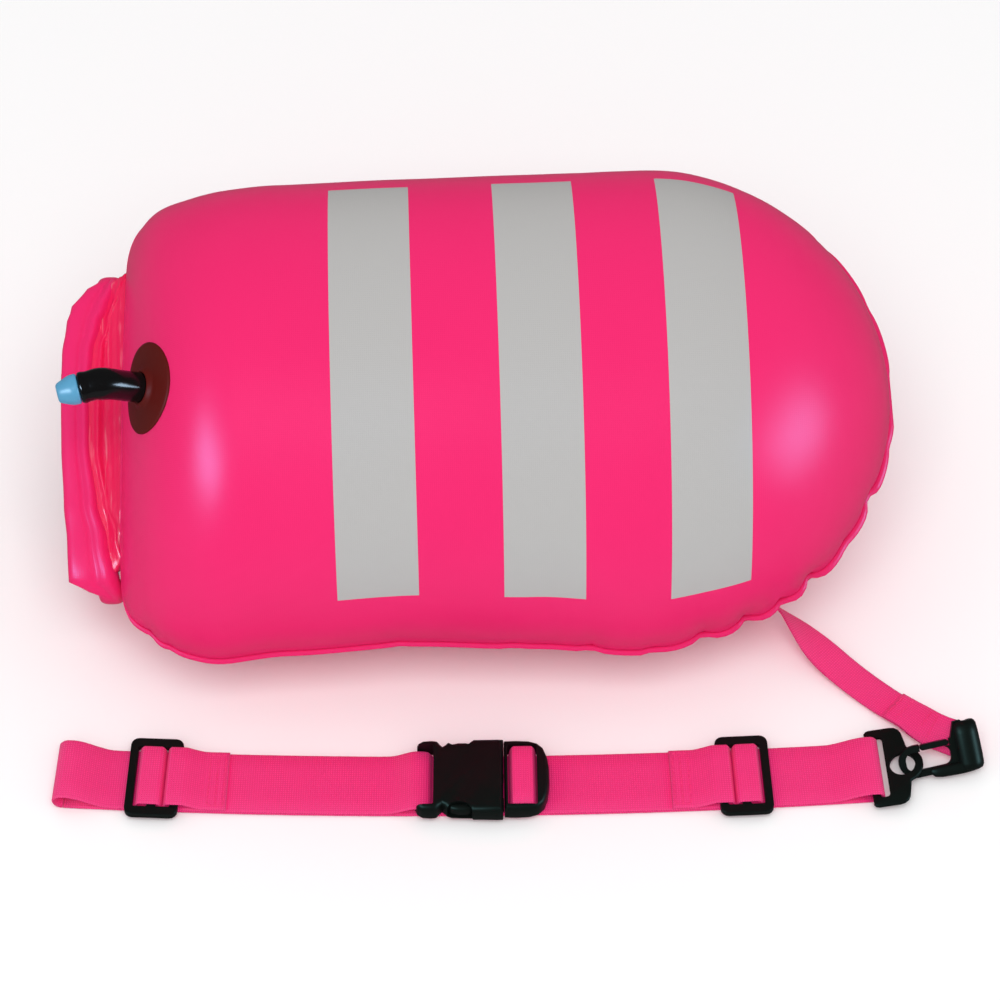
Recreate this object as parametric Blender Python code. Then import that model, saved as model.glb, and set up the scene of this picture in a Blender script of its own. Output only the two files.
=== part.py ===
"""Open water swim buoy: an inflated roll-top buoy on its back, its leash, snap hook and waist belt.

Metres, +Z up. The floor is z = 0 and the buoy's long axis lies above the X axis, tail at +X.
"""
import math

import bmesh
import bpy
from mathutils import Matrix, Vector

for old in list(bpy.data.objects):
    bpy.data.objects.remove(old)

# Gap between pieces that touch
GAP = 0.0003

# Inflated body: two welded panels, an upper and a lower half
BODY_HALF_WIDTH = 0.134
BODY_HALF_DEPTH = 0.110
AXIS_HEIGHT = 0.110
LEFT_END_X = -0.214
LEFT_CORNER_LENGTH = 0.064
LEFT_DEPTH_LENGTH = 0.074
NECK_HALF_WIDTH = 0.080
TAIL_X = 0.218
TAIL_LENGTH = 0.143
PANEL_WALL = 0.0009
BODY_ROLL = math.radians(25.0)
BODY_YAW = math.radians(2.0)
TAIL_HOLE = 0.0025
END_DEPTH_SHARE = 0.14
LENGTH_STEPS = 30
ARC_STEPS = 14

# Dry pouch between the two air cells
POUCH_THICKNESS = 0.0022
POUCH_MARGIN = 0.016

# Neck and rolled closure
NECK_THICKNESS = 0.0040
NECK_LENGTH = 0.0105
NECK_share = (0.0, 0.3, 0.65, 1.0)
ROLL_HALF_THICKNESS = 0.0105
ROLL_HALF_HEIGHT = 0.0068
ROLL_HALF_SPAN = 0.089
ROLL_ARM_DEPTH = 0.064
ROLL_ARM_END = 0.044
ROLL_ARM_shares = ((0.70, 0.86), (0.88, 0.55), (0.99, 0.24), (0.90, 0.03), (0.55, 0.0))
ROLL_SIDES = 12
STIFFENER_HALF_WIDTH = 0.0052
SLOT_WIDTH_share = 1.4
STIFFENER_THICKNESS = 0.0015
TAB_WIDTH = 0.0165
TAB_THICKNESS = 0.0014

# Clip that joins the roll's ends, measured along the clip from its middle
CLIP_LENGTH = 0.028
CLIP_JOINT = 0.004
CLIP_WIDTH = 0.021
CLIP_THICKNESS = 0.0100
CLIP_WALL = 0.0016
CLIP_PLUG_LENGTH = 0.011
CLIP_TAB_GRIP = 0.003
CLIP_TRAVEL = 0.0125

# Inflation valve, near the left end of the upper panel
VALVE_X = -0.1940
VALVE_ANGLE = math.radians(89.4)
VALVE_POINTING_shares = (-0.97, -0.22, -0.10)
PATCH_RADIUS = 0.025
PATCH_THICKNESS = 0.0008
TUBE_OUTER = 0.0083
TUBE_BORE = 0.0058
TUBE_RISE = 0.023
TUBE_RUN = 0.0155
TUBE_BEND_share = (0.72, 0.25)
MOUTHPIECE_LENGTH = 0.0125
MOUTHPIECE_OUTER = 0.0083
MOUTHPIECE_TIP = 0.0046
MOUTHPIECE_BORE = 0.0030
MOUTHPIECE_share = (0.3, 1.25, 0.85)
STEM_RADIUS = 0.0016
STEM_HEAD_RADIUS = 0.0042
STEM_HEAD_LENGTH = 0.0018
STEM_TRAVEL = 0.003
SEAL_SEAT = 0.001
SEAL_THICKNESS = 0.0016
SPRING_RADIUS = 0.0034
SPRING_WIRE = 0.00035
SPRING_LENGTH = 0.0055
SPRING_TURNS = 3
SPRING_POINTS = 9

# Leash webbing and its anchor on the lower panel
LEASH_WIDTH = 0.020
LEASH_THICKNESS = 0.0014
LEASH_STEPS = 4
TAIL_PATCH_RADIUS = 0.024
TAIL_PATCH_X = 0.136
TAIL_PATCH_ANGLE = math.radians(-138.0)

LEASH_ROUTE = ((0.1500, -0.0640, 0.0175), (0.1640, -0.0755, 0.0140), (0.1826, -0.0923, 0.0075),
               (0.1988, -0.1067, 0.0032), (0.2160, -0.1215, 0.0022), (0.2300, -0.1340, 0.0050),
               (0.2425, -0.1465, 0.0090))
LEASH_HEADING = math.radians(-42.0)
LEASH_FLAT_share = (0.42, 0.74)

# Snap hook: s runs from its nose to its eye, t from the gate (below zero) to the spine
HOOK_HEIGHT = 0.0077
HOOK_YAW = math.radians(11.0)
HOOK_PITCH = math.radians(6.0)
HOOK_TILT = math.radians(40.0)
HOOK_THICKNESS = 0.0038
HOOK_BAR = 0.0039
HOOK_HALF_WIDTH = 0.0090
HOOK_GATE_S = 0.0127
HOOK_GATE_LENGTH = 0.0170
HOOK_BASE_LENGTH = 0.0040
HOOK_EYE_TOP_T = -0.0175
HOOK_EYE_LOW_T = 0.0095
HOOK_EYE_CORNER = 0.0040
HOOK_NOSE_STEPS = 12
HOLLOW_CORNER_share = 0.75
GATE_THICKNESS = 0.0036
EYE_SLOT_LENGTH = 0.0048
EYE_BAR = 0.0036
LEASH_LOOP_INNER = 0.0030

# Belt ring: a slot for the strap at one end and a round hole for the hook at the other
RING_THICKNESS = 0.0024
RING_SLOT_X = 0.2117
RING_SLOT_LENGTH = 0.0052
RING_BAR = 0.0044
RING_HALF_WIDTH = 0.0250
RING_HOLE_RADIUS = 0.0071
RING_NOSE_RADIUS = 0.0116
RING_HOLE_REACH = 0.0092
RING_SHOULDER = 0.0080
RING_TILT = math.radians(9.5)
RING_NOSE_STEPS = 10
RING_NOSE_TURN = math.radians(72.0)

# Waist belt, lying along X in front of the buoy, slightly bowed
BELT_WIDTH = 0.038
BELT_THICKNESS = 0.0014
BELT_STEP = 0.028
BELT_Y = -0.170
BELT_SLOPE = 0.0132
BELT_BOW = 0.008
BELT_BOW_HALF = 0.235
BELT_LEFT_X = -0.2455
BELT_FOLD_HEIGHT = 0.0115
BELT_FOLD_REACH = 0.0050
BELT_FOLD_STEPS = 6
BELT_FOLD_RUN = 0.026
FOLD_DOWN_shares = ((0.15, 0.99), (0.35, 0.80), (0.6, 0.40), (0.8, 0.12), (1.0, 0.0))
ARCH_shares = ((0.06, 0.0), (0.10, 0.6), (0.17, 0.95), (0.27, 1.0), (0.73, 1.0), (0.83, 0.95),
               (0.90, 0.6), (0.94, 0.0))
SEWN_shares = ((0.01, 0.0), (0.025, 0.6), (0.05, 0.95), (0.08, 1.0), (0.26, 1.0), (0.33, 0.9),
               (0.45, 0.45), (0.58, 0.08), (0.66, 0.0), (1.0, 0.0))
WRAP_RADIUS = 0.0039
WRAP_STEPS = 8
WRAP_RUN = 0.026
SEAM_X = -0.030

# Tri-glide sliders on the belt
SLIDER_LEFT_X = -0.1915
SLIDER_RIGHT_X = 0.1352
SLIDER_LENGTH = 0.0295
SLIDER_WIDTH = 0.0500
SLIDER_THICKNESS = 0.0038
SLIDER_BAR = 0.0045
SEWN_LENGTH = 0.0260

# Side-release buckle
BUCKLE_X = -0.0470
BUCKLE_JOINT_X = 0.0020
BUCKLE_END_X = 0.0272
BUCKLE_WIDTH = 0.0455
BUCKLE_THICKNESS = 0.0112
BUCKLE_WALL = 0.0020
BUCKLE_BAR = 0.0042
BUCKLE_ARM_LENGTH = 0.0290
BUCKLE_ARM_WIDTH = 0.0050
WINDOW_LENGTH = 0.0160

# Colours
PINK = (0.85, 0.03, 0.19, 1.0)
WEB_PINK = (1.0, 0.03, 0.22, 1.0)
NECK_PINK = (0.87, 0.01, 0.10, 1.0)
PATCH_BROWN = (0.10, 0.012, 0.010, 1.0)
BLACK = (0.007, 0.008, 0.007, 1.0)
TUBE_BLACK = (0.004, 0.004, 0.005, 1.0)
SKY_BLUE = (0.15, 0.43, 0.68, 1.0)
STEEL = (0.55, 0.55, 0.56, 1.0)
POUCH_GREY = (0.35, 0.36, 0.38, 1.0)


def material(name, colour, roughness=0.45, metallic=0.0):
    """A plain Principled material for one piece."""
    made = bpy.data.materials.new(name)
    made.use_nodes = True
    shader = made.node_tree.nodes["Principled BSDF"]
    shader.inputs["Base Color"].default_value = colour
    shader.inputs["Roughness"].default_value = roughness
    shader.inputs["Metallic"].default_value = metallic
    made.diffuse_color = colour
    return made


def add_object(name, mesh_bm, colour, roughness=0.45, metallic=0.0, sharp=30.0):
    """Turn a bmesh into a named object with its own material."""
    bmesh.ops.recalc_face_normals(mesh_bm, faces=mesh_bm.faces)
    mesh = bpy.data.meshes.new(name)
    mesh_bm.to_mesh(mesh)
    mesh_bm.free()
    mesh.shade_smooth()
    mesh.set_sharp_from_angle(angle=math.radians(sharp))
    made = bpy.data.objects.new(name, mesh)
    made.data.materials.append(material(name, colour, roughness, metallic))
    bpy.context.collection.objects.link(made)
    return made


def loft(rings, cyclic=False):
    """Skin a list of closed rings; the ends are capped unless the rings form a loop."""
    bm = bmesh.new()
    rows = [[bm.verts.new(point) for point in ring] for ring in rings]
    count = len(rings[0])
    pairs = list(zip(rows, rows[1:]))
    if cyclic:
        pairs.append((rows[-1], rows[0]))
    for low, high in pairs:
        for i in range(count):
            j = (i + 1) % count
            bm.faces.new((low[i], low[j], high[j], high[i]))
    if not cyclic:
        bm.faces.new(list(reversed(rows[0])))
        bm.faces.new(rows[-1])
    return bm


def prism(outline, low, high, frame):
    """Extrude a flat outline of (u, v) points from low to high along the frame's third axis."""
    rings = [[frame @ Vector((u, v, w)) for u, v in outline] for w in (low, high)]
    return loft(rings)


def round_box(length, width, radius, centre=(0.0, 0.0), steps=4):
    """Outline of a rectangle with round corners."""
    points = []
    for corner, (sx, sy) in enumerate(((1, 1), (-1, 1), (-1, -1), (1, -1))):
        cx = centre[0] + sx * (length / 2 - radius)
        cy = centre[1] + sy * (width / 2 - radius)
        for k in range(steps + 1):
            turn = (corner + k / steps) * math.pi / 2
            points.append((cx + radius * math.cos(turn), cy + radius * math.sin(turn)))
    return points


def circle(radius, centre=(0.0, 0.0), steps=24):
    """Outline of a circle."""
    turns = [2 * math.pi * k / steps for k in range(steps)]
    return [(centre[0] + radius * math.cos(t), centre[1] + radius * math.sin(t)) for t in turns]


def frame_at(origin, u_axis, w_axis):
    """A placing frame from an origin, its first axis and roughly its third."""
    u = Vector(u_axis).normalized()
    v = Vector(w_axis).cross(u).normalized()
    w = u.cross(v)
    turn = Matrix((u, v, w)).transposed().to_4x4()
    return Matrix.Translation(Vector(origin)) @ turn


def smooth_route(points, steps):
    """Points of a Catmull-Rom curve through the route's own points."""
    p = [Vector(q) for q in points]
    p = [2 * p[0] - p[1]] + p + [2 * p[-1] - p[-2]]
    made = []
    for a, b, c, d in zip(p, p[1:], p[2:], p[3:]):
        for k in range(steps):
            t = k / steps
            made.append(0.5 * (2 * b + (c - a) * t + (2 * a - 5 * b + 4 * c - d) * t * t
                               + (3 * b - a - 3 * c + d) * t ** 3))
    made.append(p[-2])
    return made


def sweep(path, outline, across):
    """Rings of an outline carried along a path; across gives the outline's first axis at each point."""
    rings = []
    for i, point in enumerate(path):
        ahead = path[min(i + 1, len(path) - 1)]
        behind = path[max(i - 1, 0)]
        along = (ahead - behind).normalized()
        side = across[i] - across[i].dot(along) * along
        side.normalize()
        up = along.cross(side)
        rings.append([point + side * u + up * v for u, v in outline])
    return rings


def cut(target, cutter_bm, name):
    """Cut a hidden shape out of an object."""
    mesh = bpy.data.meshes.new(name)
    bmesh.ops.recalc_face_normals(cutter_bm, faces=cutter_bm.faces)
    cutter_bm.to_mesh(mesh)
    cutter_bm.free()
    cutter = bpy.data.objects.new(name, mesh)
    cutter.hide_render = True
    cutter.display_type = "WIRE"
    bpy.context.collection.objects.link(cutter)
    step = target.modifiers.new(name, "BOOLEAN")
    step.operation = "DIFFERENCE"
    step.object = cutter


# The inflated body, in its own frame: x along it, u across the seam plane, n square to it
BODY_FRAME = (Matrix.Translation((0.0, 0.0, AXIS_HEIGHT)) @ Matrix.Rotation(BODY_YAW, 4, "Z")
              @ Matrix.Rotation(BODY_ROLL, 4, "X"))


def half_width(x):
    """Half the body's width in the seam plane."""
    if x < LEFT_END_X + LEFT_CORNER_LENGTH:
        share = (LEFT_END_X + LEFT_CORNER_LENGTH - x) / LEFT_CORNER_LENGTH
        grown = math.sqrt(max(0.0, 1 - share * share))
        return NECK_HALF_WIDTH + (BODY_HALF_WIDTH - NECK_HALF_WIDTH) * grown
    if x > TAIL_X - TAIL_LENGTH:
        share = (x - TAIL_X + TAIL_LENGTH) / TAIL_LENGTH
        return BODY_HALF_WIDTH * math.sqrt(max(0.0, 1 - share * share))
    return BODY_HALF_WIDTH


def half_depth(x):
    """Half the body's thickness square to the seam plane."""
    if x < LEFT_END_X + LEFT_DEPTH_LENGTH:
        share = (LEFT_END_X + LEFT_DEPTH_LENGTH - x) / LEFT_DEPTH_LENGTH
        return BODY_HALF_DEPTH * math.sqrt(max(END_DEPTH_SHARE ** 2, 1 - share * share))
    if x > TAIL_X - TAIL_LENGTH:
        share = (x - TAIL_X + TAIL_LENGTH) / TAIL_LENGTH
        return BODY_HALF_DEPTH * math.sqrt(max(0.0, 1 - share * share))
    return BODY_HALF_DEPTH


def body_point(x, angle, inset=0.0):
    """World point on the skin: angle 0 is the far seam, 90 degrees the middle of the upper panel."""
    wide = half_width(x) - inset
    deep = max(half_depth(x) - inset, 0.0)
    point = BODY_FRAME @ Vector((x, wide * math.cos(angle), deep * math.sin(angle)))
    point.z = max(point.z, inset)
    return point


def length_stations():
    """Stations along the body, closer together at both ends."""
    made = []
    start = LEFT_END_X
    end = TAIL_X - TAIL_LENGTH * (1 - math.sqrt(1 - (TAIL_HOLE / BODY_HALF_WIDTH) ** 2))
    for k in range(LENGTH_STEPS + 1):
        share = 0.5 - 0.5 * math.cos(math.pi * k / LENGTH_STEPS)
        made.append(start + (end - start) * share)
    return made


def panel(name, sign, colour):
    """One welded half of the body, a thin shell with a flat seam lap at its edge."""
    seam_lift = BODY_FRAME.to_3x3() @ Vector((0.0, 0.0, sign * GAP / 2))
    outer = []
    inner = []
    for x in length_stations():
        row_out = []
        row_in = []
        for k in range(ARC_STEPS + 1):
            angle = sign * math.pi * k / ARC_STEPS
            row_out.append(body_point(x, angle) + seam_lift)
            row_in.append(body_point(x, angle, PANEL_WALL) + seam_lift)
        outer.append(row_out)
        inner.append(row_in)
    bm = bmesh.new()
    far = [[bm.verts.new(p) for p in row] for row in outer]
    near = [[bm.verts.new(p) for p in row] for row in inner]
    last = len(outer) - 1
    for i in range(last):
        for k in range(ARC_STEPS):
            bm.faces.new((far[i][k], far[i + 1][k], far[i + 1][k + 1], far[i][k + 1]))
            bm.faces.new((near[i][k], near[i][k + 1], near[i + 1][k + 1], near[i + 1][k]))
        for k in (0, ARC_STEPS):
            bm.faces.new((far[i][k], near[i][k], near[i + 1][k], far[i + 1][k]))
    for i in (0, last):
        for k in range(ARC_STEPS):
            bm.faces.new((far[i][k], far[i][k + 1], near[i][k + 1], near[i][k]))
    add_object(name, bm, colour, 0.4)


def skin_at(start, direction):
    """Where a line from outside the body, pointing inward, meets its skin."""
    back = BODY_FRAME.inverted()
    low = 0.0
    high = BODY_HALF_DEPTH
    for _ in range(40):
        middle = (low + high) / 2
        x, u, n = back @ (start + direction * middle)
        outside = (u / half_width(x)) ** 2 + (n / half_depth(x)) ** 2 > 1
        low, high = (middle, high) if outside else (low, middle)
    return start + direction * low


def skin_frame(x, angle):
    """Place and outward normal of the skin, as a frame whose third axis points out."""
    step = PANEL_WALL
    along = body_point(x + step, angle) - body_point(x - step, angle)
    turn = step / BODY_HALF_WIDTH
    across = body_point(x, angle + turn) - body_point(x, angle - turn)
    out = along.cross(across).normalized()
    origin = body_point(x, angle)
    if out.dot(origin - BODY_FRAME.translation) < 0:
        out = -out
    return frame_at(origin, along, out)


def hollow_loft(outer, inner):
    """A tube open at both ends, from its outer and inner rings."""
    return loft(outer + list(reversed(inner)), cyclic=True)


def oval(half_u, half_v, steps):
    """Outline of an oval."""
    turns = [2 * math.pi * k / steps for k in range(steps)]
    return [(half_u * math.cos(t), half_v * math.sin(t)) for t in turns]


def turned_ring(radius, height, frame, steps=20):
    """One ring of a turned shape round the frame's third axis."""
    return [frame @ Vector((u, v, height)) for u, v in circle(radius, steps=steps)]


def wire_tube(name, points, radius, colour):
    """A round wire through points, with closed ends."""
    curve = bpy.data.curves.new(name, "CURVE")
    curve.dimensions = "3D"
    curve.bevel_depth = radius
    curve.bevel_resolution = 1
    curve.use_fill_caps = True
    spline = curve.splines.new("POLY")
    spline.points.add(len(points) - 1)
    for spot, point in zip(spline.points, points):
        spot.co = (*point, 1.0)
    made = bpy.data.objects.new(name, curve)
    curve.materials.append(material(name, colour, 0.3, 1.0))
    bpy.context.collection.objects.link(made)


def dry_pouch():
    """The inner bag, lying flat and empty between the two air cells."""
    upper = []
    for x in length_stations():
        wide = half_width(x) - POUCH_MARGIN
        if wide > POUCH_MARGIN:
            upper.append((x, wide))
    outline = upper + [(x, -wide) for x, wide in reversed(upper)]
    add_object("dry_pouch", prism(outline, -POUCH_THICKNESS / 2, POUCH_THICKNESS / 2, BODY_FRAME),
               POUCH_GREY, 0.5)


NECK_START = LEFT_END_X - GAP
NECK_END = NECK_START - NECK_LENGTH
ROLL_X = NECK_END - GAP - ROLL_HALF_THICKNESS


def neck_film():
    """The thin film that runs from the body's open end into the roll."""
    rings = []
    for share in NECK_share:
        x = NECK_START - NECK_LENGTH * share
        start_depth = END_DEPTH_SHARE * BODY_HALF_DEPTH
        deep = start_depth + (NECK_THICKNESS / 2 - start_depth) * math.sin(share * math.pi / 2)
        rings.append([BODY_FRAME @ Vector((x, u, n))
                      for u, n in oval(NECK_HALF_WIDTH - GAP, deep, 4 * ROLL_SIDES)])
    add_object("neck_film", loft(rings), NECK_PINK, 0.25)


def roll_path():
    """Middle line of the rolled closure in the body's cross plane, bent back at both ends."""
    half = [(ROLL_ARM_END, -ROLL_ARM_DEPTH)]
    half += [(ROLL_HALF_SPAN * a, -ROLL_ARM_DEPTH * b) for a, b in ROLL_ARM_shares]
    right = [Vector((ROLL_X, u, n)) for u, n in half]
    left = [Vector((ROLL_X, -u, n)) for u, n in reversed(half)]
    return smooth_route(right + [Vector((ROLL_X, 0.0, 0.0))] + left, 3)


def closure():
    """The rolled fabric, the strip inside it, and the clip that joins its ends behind the body."""
    path = roll_path()
    across = [Vector((1.0, 0.0, 0.0))] * len(path)
    outer = sweep(path, oval(ROLL_HALF_THICKNESS, ROLL_HALF_HEIGHT, ROLL_SIDES), across)
    slot = oval(STIFFENER_HALF_WIDTH * SLOT_WIDTH_share, STIFFENER_THICKNESS, ROLL_SIDES)
    inner = sweep(path, slot, across)
    place = [[[BODY_FRAME @ p for p in ring] for ring in rings] for rings in (outer, inner)]
    add_object("closure_roll", hollow_loft(*place), PINK, 0.4, sharp=80.0)
    strip = round_box(2 * STIFFENER_HALF_WIDTH, ROLL_HALF_SPAN, STIFFENER_HALF_WIDTH / 2, (ROLL_X, 0.0))
    add_object("closure_stiffener", prism(strip, -STIFFENER_THICKNESS / 3, STIFFENER_THICKNESS / 3,
                                          BODY_FRAME), BLACK)
    clip_frame = BODY_FRAME @ Matrix.Translation((ROLL_X, 0.0, -ROLL_ARM_DEPTH))
    clip_frame = clip_frame @ Matrix.Rotation(math.pi / 2, 4, "Z")
    tab_end = ROLL_ARM_END - GAP
    for name, low, high in (("closure_tab_far", CLIP_LENGTH - CLIP_TAB_GRIP, tab_end),
                            ("closure_tab_near", -tab_end, -CLIP_LENGTH - GAP)):
        outline = [(low, -TAB_WIDTH / 2), (high, -TAB_WIDTH / 2), (high, TAB_WIDTH / 2), (low, TAB_WIDTH / 2)]
        add_object(name, prism(outline, -TAB_THICKNESS / 2, TAB_THICKNESS / 2, clip_frame), WEB_PINK, 0.8)
    body = round_box(CLIP_LENGTH + CLIP_JOINT, CLIP_WIDTH, CLIP_WALL,
                     ((CLIP_JOINT - CLIP_LENGTH) / 2, 0.0))
    female = add_object("closure_clip_socket", prism(body, -CLIP_THICKNESS / 2, CLIP_THICKNESS / 2,
                                                     clip_frame), BLACK, 0.35)
    plug_start = CLIP_JOINT - CLIP_PLUG_LENGTH
    hole = round_box(CLIP_PLUG_LENGTH + 2 * CLIP_WALL, CLIP_WIDTH - 4 * CLIP_WALL, CLIP_WALL / 2,
                     (CLIP_JOINT - CLIP_PLUG_LENGTH / 2 + CLIP_WALL - GAP, 0.0))
    hole_half = CLIP_THICKNESS / 2 - CLIP_WALL
    cut(female, prism(hole, -hole_half, hole_half, clip_frame), "clip_socket_hole")
    plug_half = hole_half - GAP
    plug_width = CLIP_WIDTH - 4 * CLIP_WALL - 2 * GAP
    shoulder = CLIP_JOINT + GAP
    shape = [(plug_start, plug_width / 2 - CLIP_WALL), (plug_start + CLIP_WALL, plug_width / 2),
             (shoulder, plug_width / 2), (shoulder, CLIP_WIDTH / 2), (CLIP_LENGTH, CLIP_WIDTH / 2)]
    shape += [(u, -v) for u, v in reversed(shape)]
    male = add_object("closure_clip_plug", prism(shape, -plug_half, plug_half, clip_frame), BLACK, 0.35)
    grip = round_box(CLIP_TRAVEL + CLIP_TAB_GRIP + 2 * GAP, TAB_WIDTH + 2 * GAP, GAP,
                     (CLIP_LENGTH + GAP - (CLIP_TRAVEL + CLIP_TAB_GRIP) / 2, 0.0))
    cut(male, prism(grip, -TAB_THICKNESS / 2 - GAP, TAB_THICKNESS / 2 + GAP, clip_frame), "clip_grip_hole")


def valve_washer(name, nose, low, colour):
    """A ring that fits the valve's bore, with a hole for the stem."""
    spans = (low, low + SEAL_THICKNESS)
    outer = [turned_ring(TUBE_BORE - GAP, h, nose) for h in spans]
    inner = [turned_ring(STEM_RADIUS + GAP, h, nose) for h in spans]
    add_object(name, hollow_loft(outer, inner), colour, 0.6)


def valve():
    """Dark patch, bent tube, mouthpiece, and the sprung stem inside."""
    skin = skin_frame(VALVE_X, VALVE_ANGLE)
    out = skin.col[2].to_3d()
    reach = PATCH_RADIUS
    lower = []
    upper = []
    for radius in (TUBE_BORE, PATCH_RADIUS / 2, PATCH_RADIUS * 3 / 4, PATCH_RADIUS):
        ring = [skin_at(skin @ Vector((u, v, reach)), -out) for u, v in circle(radius)]
        lower.append([p + out * 2 * GAP for p in ring])
        upper.append([p + out * (2 * GAP + PATCH_THICKNESS) for p in ring])
    add_object("valve_patch", hollow_loft(upper, lower), PATCH_BROWN, 0.35)
    base = skin.translation + out * (2 * GAP + PATCH_THICKNESS + GAP)
    bend = base + out * TUBE_RISE
    far = Vector(VALVE_POINTING_shares).normalized()
    end = bend + far * TUBE_RUN
    path = smooth_route([base, base.lerp(bend, TUBE_BEND_share[0]), bend.lerp(end, TUBE_BEND_share[1]),
                         end], 4)
    across = [Vector((0.0, 0.0, 1.0)).cross(out)] * len(path)
    tube = hollow_loft(sweep(path, circle(TUBE_OUTER, steps=20), across),
                       sweep(path, circle(TUBE_BORE, steps=20), across))
    add_object("valve_tube", tube, TUBE_BLACK, 0.12, sharp=60.0)
    nose = frame_at(end, Vector((0.0, 0.0, 1.0)).cross(far), far)
    shell = [(MOUTHPIECE_OUTER, GAP), (MOUTHPIECE_OUTER, MOUTHPIECE_LENGTH * MOUTHPIECE_share[0]),
             (MOUTHPIECE_TIP * MOUTHPIECE_share[1], MOUTHPIECE_LENGTH * MOUTHPIECE_share[2]),
             (MOUTHPIECE_TIP, MOUTHPIECE_LENGTH)]
    bore = [(MOUTHPIECE_BORE, h) for r, h in shell]
    mouth = hollow_loft([turned_ring(r, h, nose) for r, h in shell],
                        [turned_ring(r, h, nose) for r, h in bore])
    add_object("valve_mouthpiece", mouth, SKY_BLUE, 0.35)
    seal_low = -SEAL_SEAT - SEAL_THICKNESS
    valve_washer("valve_seal", nose, seal_low, BLACK)
    head_top = seal_low - GAP
    spring_low = head_top - STEM_HEAD_LENGTH - GAP - SPRING_WIRE - SPRING_LENGTH
    stem = [(STEM_HEAD_RADIUS, head_top - STEM_HEAD_LENGTH), (STEM_HEAD_RADIUS, head_top),
            (STEM_RADIUS, head_top), (STEM_RADIUS, STEM_TRAVEL)]
    add_object("valve_stem", loft([turned_ring(r, h, nose) for r, h in stem]), SKY_BLUE, 0.4)
    valve_washer("valve_spring_seat", nose, spring_low - SPRING_WIRE - GAP - SEAL_THICKNESS, SKY_BLUE)
    turns = [k / SPRING_POINTS for k in range(SPRING_TURNS * SPRING_POINTS + 1)]
    wire_tube("valve_spring", [nose @ Vector((SPRING_RADIUS * math.cos(2 * math.pi * t),
                                              SPRING_RADIUS * math.sin(2 * math.pi * t),
                                              spring_low + SPRING_LENGTH * t / SPRING_TURNS))
                               for t in turns], SPRING_WIRE, STEEL)


def tail_patch():
    """The welded reinforcement on the lower panel that the leash is sewn to."""
    skin = skin_frame(TAIL_PATCH_X, TAIL_PATCH_ANGLE)
    out = skin.col[2].to_3d()
    lower = []
    upper = []
    for share in (0.5, 1.0):
        ring = [skin_at(skin @ Vector((u, v, TAIL_PATCH_RADIUS)), -out)
                for u, v in circle(TAIL_PATCH_RADIUS * share, steps=20)]
        lower.append([p + out * 2 * GAP for p in ring])
        upper.append([p + out * (2 * GAP + PATCH_THICKNESS) for p in ring])
    add_object("tail_patch", loft(upper + lower[::-1]), PINK, 0.45)


def ribbon(name, path, across, width, thickness, colour):
    """A flat strap along a path; across holds its width direction at each point."""
    rings = []
    for i, point in enumerate(path):
        ahead = path[min(i + 1, len(path) - 1)]
        behind = path[max(i - 1, 0)]
        side = across[i].normalized() * width / 2
        up = (ahead - behind).cross(side).normalized() * thickness / 2
        rings.append([point - side - up, point + side - up, point + side + up, point - side + up])
    add_object(name, loft(rings), colour, 0.8)


SLIDER_BASE = 2 * BELT_THICKNESS + 2 * GAP
LOW_Z = BELT_THICKNESS / 2
TOP_Z = LOW_Z + BELT_THICKNESS + GAP
ABOVE_Z = SLIDER_BASE + BELT_THICKNESS / 2


def belt_y(x):
    """Middle line of the belt on the floor."""
    return BELT_Y + BELT_SLOPE * x - BELT_BOW * (1 - (x / BELT_BOW_HALF) ** 2)


def belt_frame(x, z=0.0):
    """Frame on the belt's middle line: first axis along the belt, third up."""
    slope = BELT_SLOPE + 2 * BELT_BOW * x / BELT_BOW_HALF ** 2
    return frame_at((x, belt_y(x), z), (1.0, slope, 0.0), (0.0, 0.0, 1.0))


def belt_layer(name, places):
    """One flat stretch of belt webbing through (x, height of its middle) places."""
    path = []
    for (x0, z0), (x1, z1) in zip(places, places[1:]):
        count = max(1, round((x1 - x0) / BELT_STEP)) if x1 > x0 else 1
        for k in range(count):
            x = x0 + (x1 - x0) * k / count
            path.append(Vector((x, belt_y(x), z0 + (z1 - z0) * k / count)))
    x, z = places[-1]
    path.append(Vector((x, belt_y(x), z)))
    across = [belt_frame(p.x).col[1].to_3d() for p in path]
    ribbon(name, path, across, BELT_WIDTH, BELT_THICKNESS, WEB_PINK)


def arch(x0, x1, low, high):
    """Places of a strap that climbs over a bar: feet at both ends and a flat top."""
    return [(x0 + (x1 - x0) * s, low + (high - low) * h) for s, h in ARCH_shares]


BAR_X = RING_SLOT_X - (RING_SLOT_LENGTH + RING_BAR) / 2
RING_HOLE_U = RING_BAR / 2 + RING_SLOT_LENGTH + RING_HOLE_REACH
RING_FRAME = belt_frame(BAR_X, LOW_Z + WRAP_RADIUS) @ Matrix.Rotation(-RING_TILT, 4, "Y")
HOLE = RING_FRAME @ Vector((RING_HOLE_U, 0.0, 0.0))


def hook_frame():
    """Frame at the hook's nose: first axis to the eye, second from gate to spine."""
    long_axis = Vector((math.cos(HOOK_YAW) * math.cos(HOOK_PITCH),
                        math.sin(HOOK_YAW) * math.cos(HOOK_PITCH), math.sin(HOOK_PITCH)))
    level = Vector((math.sin(HOOK_YAW), -math.cos(HOOK_YAW), 0.0))
    across = level * math.cos(HOOK_TILT) + long_axis.cross(level) * math.sin(HOOK_TILT)
    origin = Vector((HOLE.x, HOLE.y, HOOK_HEIGHT)) - long_axis * HOOK_BAR / 2
    return frame_at(origin, long_axis, long_axis.cross(across))


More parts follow.
